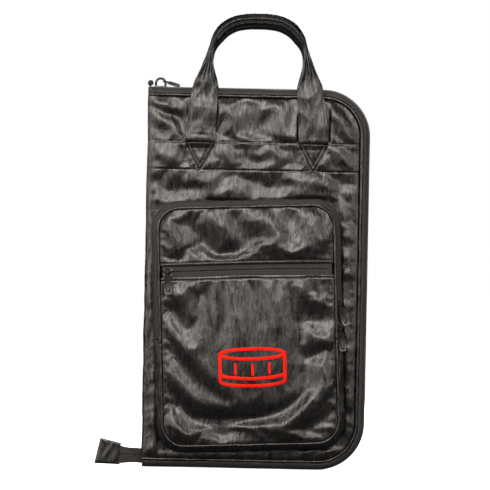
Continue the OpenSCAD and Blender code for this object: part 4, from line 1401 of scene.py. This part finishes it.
TAB_CORNERS = np.array([[-164.5, 0.9], [-163.5, 27.6], [-189.3, 33.6], [-196.2, 1.8]])


def tab_surface(s, t, side):
    """Leather folded over the tape's end; s runs away from the bag and t upwards."""
    a, b, c, d = TAB_CORNERS
    s, t = np.broadcast_arrays(s, t)
    flat = ((1 - s) * (1 - t))[..., None] * a + ((1 - s) * t)[..., None] * b
    flat = flat + (s * t)[..., None] * c + (s * (1 - t))[..., None] * d
    ease_s = (1 - np.abs(2 * s - 1) ** 7) ** 0.5
    ease_t = (1 - np.abs(2 * t - 1) ** 9) ** 0.5
    bump_ = 0.7 * noise(s * 2.6, t * 2.6, 471 + side) + 0.5 * crumple(s * 30, t * 26, 472 + side, 8, 22, 0.6)
    hem = -0.5 * np.exp(-((s - 0.10) / 0.03) ** 2)
    y = side * np.maximum((2.3 * ease_s * ease_t) + (bump_ + hem) * ease_s * ease_t, 0.0)
    return np.stack([flat[..., 0], y, flat[..., 1]], -1)


def tail_tab():
    t = (np.sin(np.linspace(-1, 1, 27) * math.pi / 2) + 1) / 2
    s = (np.sin(np.linspace(-1, 1, 31) * math.pi / 2) + 1) / 2
    ss, tt = np.meshgrid(s, t, indexing="ij")
    front = tab_surface(ss, tt, -1)
    rear = tab_surface(ss, tt, 1)[:, -2:0:-1]
    tab = grid_object("tail_tab_leather", np.concatenate([front, rear], 1), HANDLE_LEATHER, close_cols=True,
                      flip=True)
    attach(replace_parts(tab, "zip_tail_tab"), "zip_tail")
    u = np.linspace(0.06, 0.94, 40)
    parts = []
    for side in (-1, 1):
        for line in (tab_surface(np.full(40, 0.10), u, side), tab_surface(u, np.full(40, 0.09), side)):
            parts += stitch_parts(line + np.array([0, side * 0.12, 0]), (0, side, 0))
    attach(merged("tail_stitches", parts, THREAD), "zip_tail")


tail_tab()


# ---------- seams of the bag ----------

def on_half(x, z, side):
    """A point on the leather of a half."""
    relief = front_relief if side < 0 else back_relief
    h = relief(x, z)
    return np.stack([x, side * (HALF_D + h + 0.1), z], -1)


def half_seams(name, side, body):
    parts = []
    x = np.linspace(LEFT + 4, RIGHT - RIM - 1, 220)
    for z in (BAND_LOW + 1.6, BAND_HIGH - 1.6):
        parts += stitch_parts(on_half(x, np.full_like(x, z), side), (0, side, 0))
    for foot_side in (-1, 1):
        foot = HANDLE_X + foot_side * STRAP_SPAN / 2
        for arm in (-1, 1):
            for shift in (-V_STITCH * 1.13, V_STITCH * 1.13):
                x = np.linspace(foot + arm * V_TOP + shift * arm, foot + shift * arm, 24)
                z = np.linspace(BAND_HIGH - 2, BAND_LOW + 3.2, 24)
                parts += stitch_parts(on_half(x, z, side), (0, side, 0), 2.8, 2.2)
    for u, v in ((0.15, ZIP_HALF + 2.2),):
        path_, normal_, at = rim_path(2.0, LEFT)
        line = np.stack([path_[:, 0] + normal_[:, 0] * u, np.full(len(at), side * v),
                         path_[:, 1] + normal_[:, 1] * u], 1)
        parts += stitch_parts(line, np.stack([normal_[:, 0], 0 * at, normal_[:, 1]], 1), 3.0, 2.3, 0.6)
    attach(merged(name, parts, THREAD), body)


half_seams("front_stitches", -1, "front_half")
half_seams("back_stitches", 1, "back_half")


def slot_seams():
    """Stitching beside the face zip, on both lips."""
    p = np.linspace(-POCKET_W / 2 + 4, POCKET_W / 2 - 4, 200)
    parts = []
    for edge, way in ((SLOT_LOW, -1), (SLOT_HIGH, 1)):
        q = np.full_like(p, edge + way * 3.9)
        line = pocket_point(p, pocket_height(p, q) + 0.15, q + 0.75 * slot_wave(p))
        parts += stitch_parts(line, (0, -1, 0), 3.0, 2.3)
    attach(merged("face_zip_stitches", parts, THREAD), "pocket_flap")


slot_seams()


def base_seams():
    """Stitching round the foot of the pocket."""
    path_, normal_, at = pocket_path(step=2.0)
    ring = np.concatenate([path_, path_[:1]]), np.concatenate([normal_, normal_[:1]])
    line = pocket_point(ring[0][:, 0] + ring[1][:, 0] * 7.6, 2.7, ring[0][:, 1] + ring[1][:, 1] * 7.6)
    out = np.stack([ring[1][:, 0] * 0.6, np.full(len(line), -0.8), ring[1][:, 1] * 0.6], 1)
    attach(merged("pocket_base_stitches", stitch_parts(line, out, 3.0, 2.3, 0.6), THREAD),
            "front_half")


base_seams()


# ---------- inside of the bag ----------

LINING_Y = 21.3


def inner_sheet(name, side, material):
    """Lining of one half with half of the spine, bent round the fold and closed against the gusset."""
    step = 4.0
    spine_half, arc_r = 17.0, 4.0
    x_spine = SPINE_X + 3.2
    arc = arc_r * math.pi / 2
    right = RIGHT - 9.0
    face = right - (x_spine + arc_r)
    s = np.concatenate([np.linspace(0, spine_half, 5, endpoint=False),
                        spine_half + np.linspace(0, arc, 6, endpoint=False),
                        spine_half + arc + np.linspace(0, face, int(face / step))])
    t = np.linspace(0, 1, 115)
    s, t = np.meshgrid(s, t, indexing="ij")
    angle = np.clip((s - spine_half) / arc_r, 0, math.pi / 2)
    flat = np.clip(s - spine_half - arc, 0, None)
    low, high = FOOT + 9, TOP - 9
    z = low + t * (high - low)
    r = CORNER - 9
    over = np.clip(np.maximum(z - (TOP - CORNER), FOOT + CORNER - z), 0, r)
    flat = flat * (1 - (r - np.sqrt(np.clip(r * r - over * over, 0, None))) / face)
    x = x_spine + arc_r - arc_r * np.cos(angle) + flat
    edge = np.minimum(np.minimum(z - low, high - z), right - x)
    turn = 3.4 * np.exp(-np.clip(edge, 0, None) / 3.0)
    soft = 1.3 * noise(x / 34, z / 44, 501) + 0.6 * crumple(x, z, 502, 24, 60, 0.3)
    y = np.where(s < spine_half, s, spine_half + arc_r * np.sin(angle) * 1.08)
    on_face = np.clip(flat / 12, 0, 1)
    y = y * (1 - on_face) + on_face * (LINING_Y + turn + soft * np.clip(edge / 12, 0, 1))
    obj = grid_object(name, np.stack([x, side * y, z], 2), material, flip=side < 0)
    return thicken(obj, 0.8)


for prefix, side in (("front", -1), ("back", 1)):
    sheet = inner_sheet(prefix + "_lining_cloth", side, LINING)
    nodes = [prefix + "_lining"] + (["spine_lining"] if side < 0 else [])
    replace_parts(sheet, *nodes)
    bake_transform(sheet)


def sleeve_puff(x, z, x0, pitch, z0, top, seed):
    """How far a sleeve's cloth stands off the lining."""
    share = ((x - x0) / pitch) % 1.0
    mouth = np.clip((z - z0) / (top - z0), 0, 1)
    arch = np.clip(np.sin(math.pi * share), 0, None) ** 0.6
    tall = np.clip((z - z0) / 12, 0, 1)
    h = arch * tall * (2.0 + 3.6 * mouth ** 3)
    return h + arch * tall * (1.3 * noise(x / 16, z / 34, seed) + 0.8 * crumple(x, z, seed + 1, 13, 46))


def sleeves(prefix, side, node, count, body):
    low, high = node_box(node)
    x0, x1, z0, top = low[0], high[0], low[2], high[2]
    pitch = (x1 - x0) / count
    base = LINING_Y - 1.4
    x, z = np.meshgrid(np.linspace(x0, x1, 14 * count + 1), np.linspace(z0, top, 90), indexing="ij")
    puff = sleeve_puff(x, z, x0, pitch, z0, top, 511)
    cloth = grid_object(prefix + "_sleeve_cloth", np.stack([x, side * (base - puff), z], 2), SLEEVE,
                        flip=side < 0)
    thicken(cloth, 0.8)
    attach(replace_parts(cloth, node), body)
    # binding over the mouth
    x = np.linspace(x0, x1, 20 * count + 1)
    puff = sleeve_puff(x, np.full_like(x, top), x0, pitch, z0, top, 511)
    a = np.linspace(0, 2 * math.pi, 10, endpoint=False)
    px = np.repeat(x[:, None], 10, 1)
    py = side * ((base - puff)[:, None] + 1.1 * np.cos(a) + 0.4)
    pz = top - 3.0 + 4.0 * np.sin(a) * np.ones_like(px)
    uv = np.stack([px, np.repeat(a[None] * 3, len(x), 0)], 2)
    binding = grid_object(prefix + "_sleeve_binding", np.stack([px, py, pz], 2), BINDING, close_cols=True,
                          flip=side > 0, uv=uv)
    cap_ends(binding)
    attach(binding, body)
    parts = []
    for i in range(count + 1):
        for shift in ((1.2,) if i == 0 else (-1.2,) if i == count else (-1.2, 1.2)):
            z = np.linspace(z0 + 2, top - 8, 60)
            x = np.full_like(z, x0 + i * pitch + shift)
            y = base - sleeve_puff(x, z, x0, pitch, z0, top, 511) - 0.1
            parts += stitch_parts(np.stack([x, side * y, z], 1), (0, -side, 0))
    x = np.linspace(x0 + 1, x1 - 1, 90)
    z = np.full_like(x, z0 + 2)
    y = base - sleeve_puff(x, z, x0, pitch, z0, top, 511) - 0.1
    parts += stitch_parts(np.stack([x, side * y, z], 1), (0, -side, 0))
    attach(merged(prefix + "_sleeve_stitches", parts, INNER_THREAD), body)


sleeves("front", -1, "front_tool_sleeves", 3, "front_half")
sleeves("back", 1, "back_stick_sleeves", 5, "back_half")


# ---------- CAD pieces that are shown as they are ----------

def finish_node(node, material, width=0.12):
    obj = frame["nodes"][node]
    obj.data.materials.clear()
    obj.data.materials.append(material)
    for polygon in obj.data.polygons:
        polygon.use_smooth = True
    edge = obj.modifiers.new("edge", "BEVEL")
    edge.width = width * MM
    edge.segments = 2
    edge.limit_method = "ANGLE"
    edge.angle_limit = math.radians(35)
    edge.harden_normals = True


for node in ("main_slider", "main_pull", "pocket_upper_slider", "pocket_upper_pull", "pocket_lower_slider",
             "pocket_lower_pull", "face_slider", "face_pull", "pocket_zip_stops", "face_zip_stops"):
    finish_node(node, METAL)


# ---------- studio ----------

def floor_material():
    """Pale floor that stays white to the camera but throws little light back up."""
    material, tree, shader = new_material("studio_floor")
    where = add(tree, "ShaderNodeTexCoord").outputs["Object"]
    patch = noise_node(tree, where, 3, 2, 0.5)
    seen = add(tree, "ShaderNodeLightPath").outputs["Is Camera Ray"]
    pale = add(tree, "ShaderNodeMix", data_type="RGBA")
    link(tree, seen, pale.inputs["Factor"])
    pale.inputs["A"].default_value = (0.09, 0.09, 0.09, 1)
    link(tree, mix_colour(tree, patch, (0.90, 0.90, 0.90), (0.93, 0.93, 0.93)), pale.inputs["B"])
    link(tree, pale.outputs["Result"], shader.inputs["Base Color"])
    shader.inputs["Roughness"].default_value = 0.9
    shader.inputs["Emission Color"].default_value = (1, 1, 1, 1)
    link(tree, math_node(tree, "MULTIPLY", seen, 1.0), shader.inputs["Emission Strength"])
    return material


def studio_floor():
    size = 20000
    verts = [(-size, -size, 0), (size, -size, 0), (size, size, 0), (-size, size, 0)]
    floor = make_object("floor", verts, [(0, 1, 2, 3)], floor_material(), smooth=False)
    floor.location.z = (FOOT - 1.0) * MM


def softbox(name, place, aim, width, height, radiance, tint=(1, 1, 1)):
    """A rectangular light with an even radiance."""
    light = bpy.data.lights.new(name, "AREA")
    light.shape = "RECTANGLE"
    light.size, light.size_y = width, height
    light.energy = radiance * math.pi * width * height
    light.color = tint
    obj = bpy.data.objects.new(name, light)
    obj.location = place
    obj.rotation_mode = "QUATERNION"
    obj.rotation_quaternion = (Vector(aim) - Vector(place)).to_track_quat("-Z", "Y")
    bpy.context.scene.collection.objects.link(obj)
    obj.visible_camera = False
    return obj


def studio_world():
    """White to the camera, and a soft grey room in reflections."""
    world = bpy.data.worlds.new("studio")
    bpy.context.scene.world = world
    world.use_nodes = True
    tree = world.node_tree
    output = tree.nodes["World Output"]
    room = tree.nodes["Background"]
    where = add(tree, "ShaderNodeTexCoord").outputs["Generated"]
    split = add(tree, "ShaderNodeSeparateXYZ")
    link(tree, where, split.inputs[0])
    link(tree, mix_colour(tree, ramp(tree, split.outputs["Z"], -0.1, 0.9), (0.004, 0.004, 0.004),
                          (0.07, 0.07, 0.075)), room.inputs["Color"])
    room.inputs["Strength"].default_value = 1.0
    white = add(tree, "ShaderNodeBackground")
    white.inputs["Color"].default_value = (1, 1, 1, 1)
    mix = add(tree, "ShaderNodeMixShader")
    link(tree, add(tree, "ShaderNodeLightPath").outputs["Is Camera Ray"], mix.inputs["Fac"])
    link(tree, room.outputs[0], mix.inputs[1])
    link(tree, white.outputs[0], mix.inputs[2])
    link(tree, mix.outputs[0], output.inputs["Surface"])


def camera():
    data = bpy.data.cameras.new("camera")
    data.lens = 296
    data.clip_end = 100
    obj = bpy.data.objects.new("camera", data)
    obj.location = (-0.0145, -5.0, 0.2762)
    obj.rotation_mode = "QUATERNION"
    facing = Vector((0, 1, 0)).to_track_quat("-Z", "Y")
    obj.rotation_quaternion = facing @ Matrix.Rotation(math.radians(1.15), 3, "Z").to_quaternion()
    bpy.context.scene.collection.objects.link(obj)
    bpy.context.scene.camera = obj


studio_floor()
studio_world()
aim = (0, 0, 0.25)
WARM = (1.0, 0.93, 0.87)
softbox("key", (-0.15, -1.25, 0.98), (0, 0, 0.3), 1.7, 0.72, 6.2, WARM)
softbox("wash", (0.0, -1.4, 0.64), (0, 0, 0.45), 2.4, 0.36, 0.4, WARM)
softbox("near_left", (-0.80, -1.4, 0.30), (0, 0, 0.2), 0.62, 0.6, 3.2, WARM)
softbox("near_right", (0.80, -1.4, 0.32), (0, 0, 0.2), 0.62, 0.6, 2.0, WARM)
softbox("fill_left", (-1.9, -1.3, 0.6), aim, 0.6, 1.3, 4.6, WARM)
softbox("fill_right", (1.8, -1.2, 0.8), aim, 0.6, 1.3, 3.6, WARM)
softbox("top", (0.2, -0.3, 2.2), aim, 1.6, 1.2, 0.8)
softbox("rear", (0.3, 1.9, 1.1), aim, 2.2, 0.95, 7.0)
softbox("spine_side", (-2.1, 0.5, 0.9), aim, 1.3, 0.8, 4.0)
camera()
bpy.context.scene.view_settings.view_transform = "Standard"
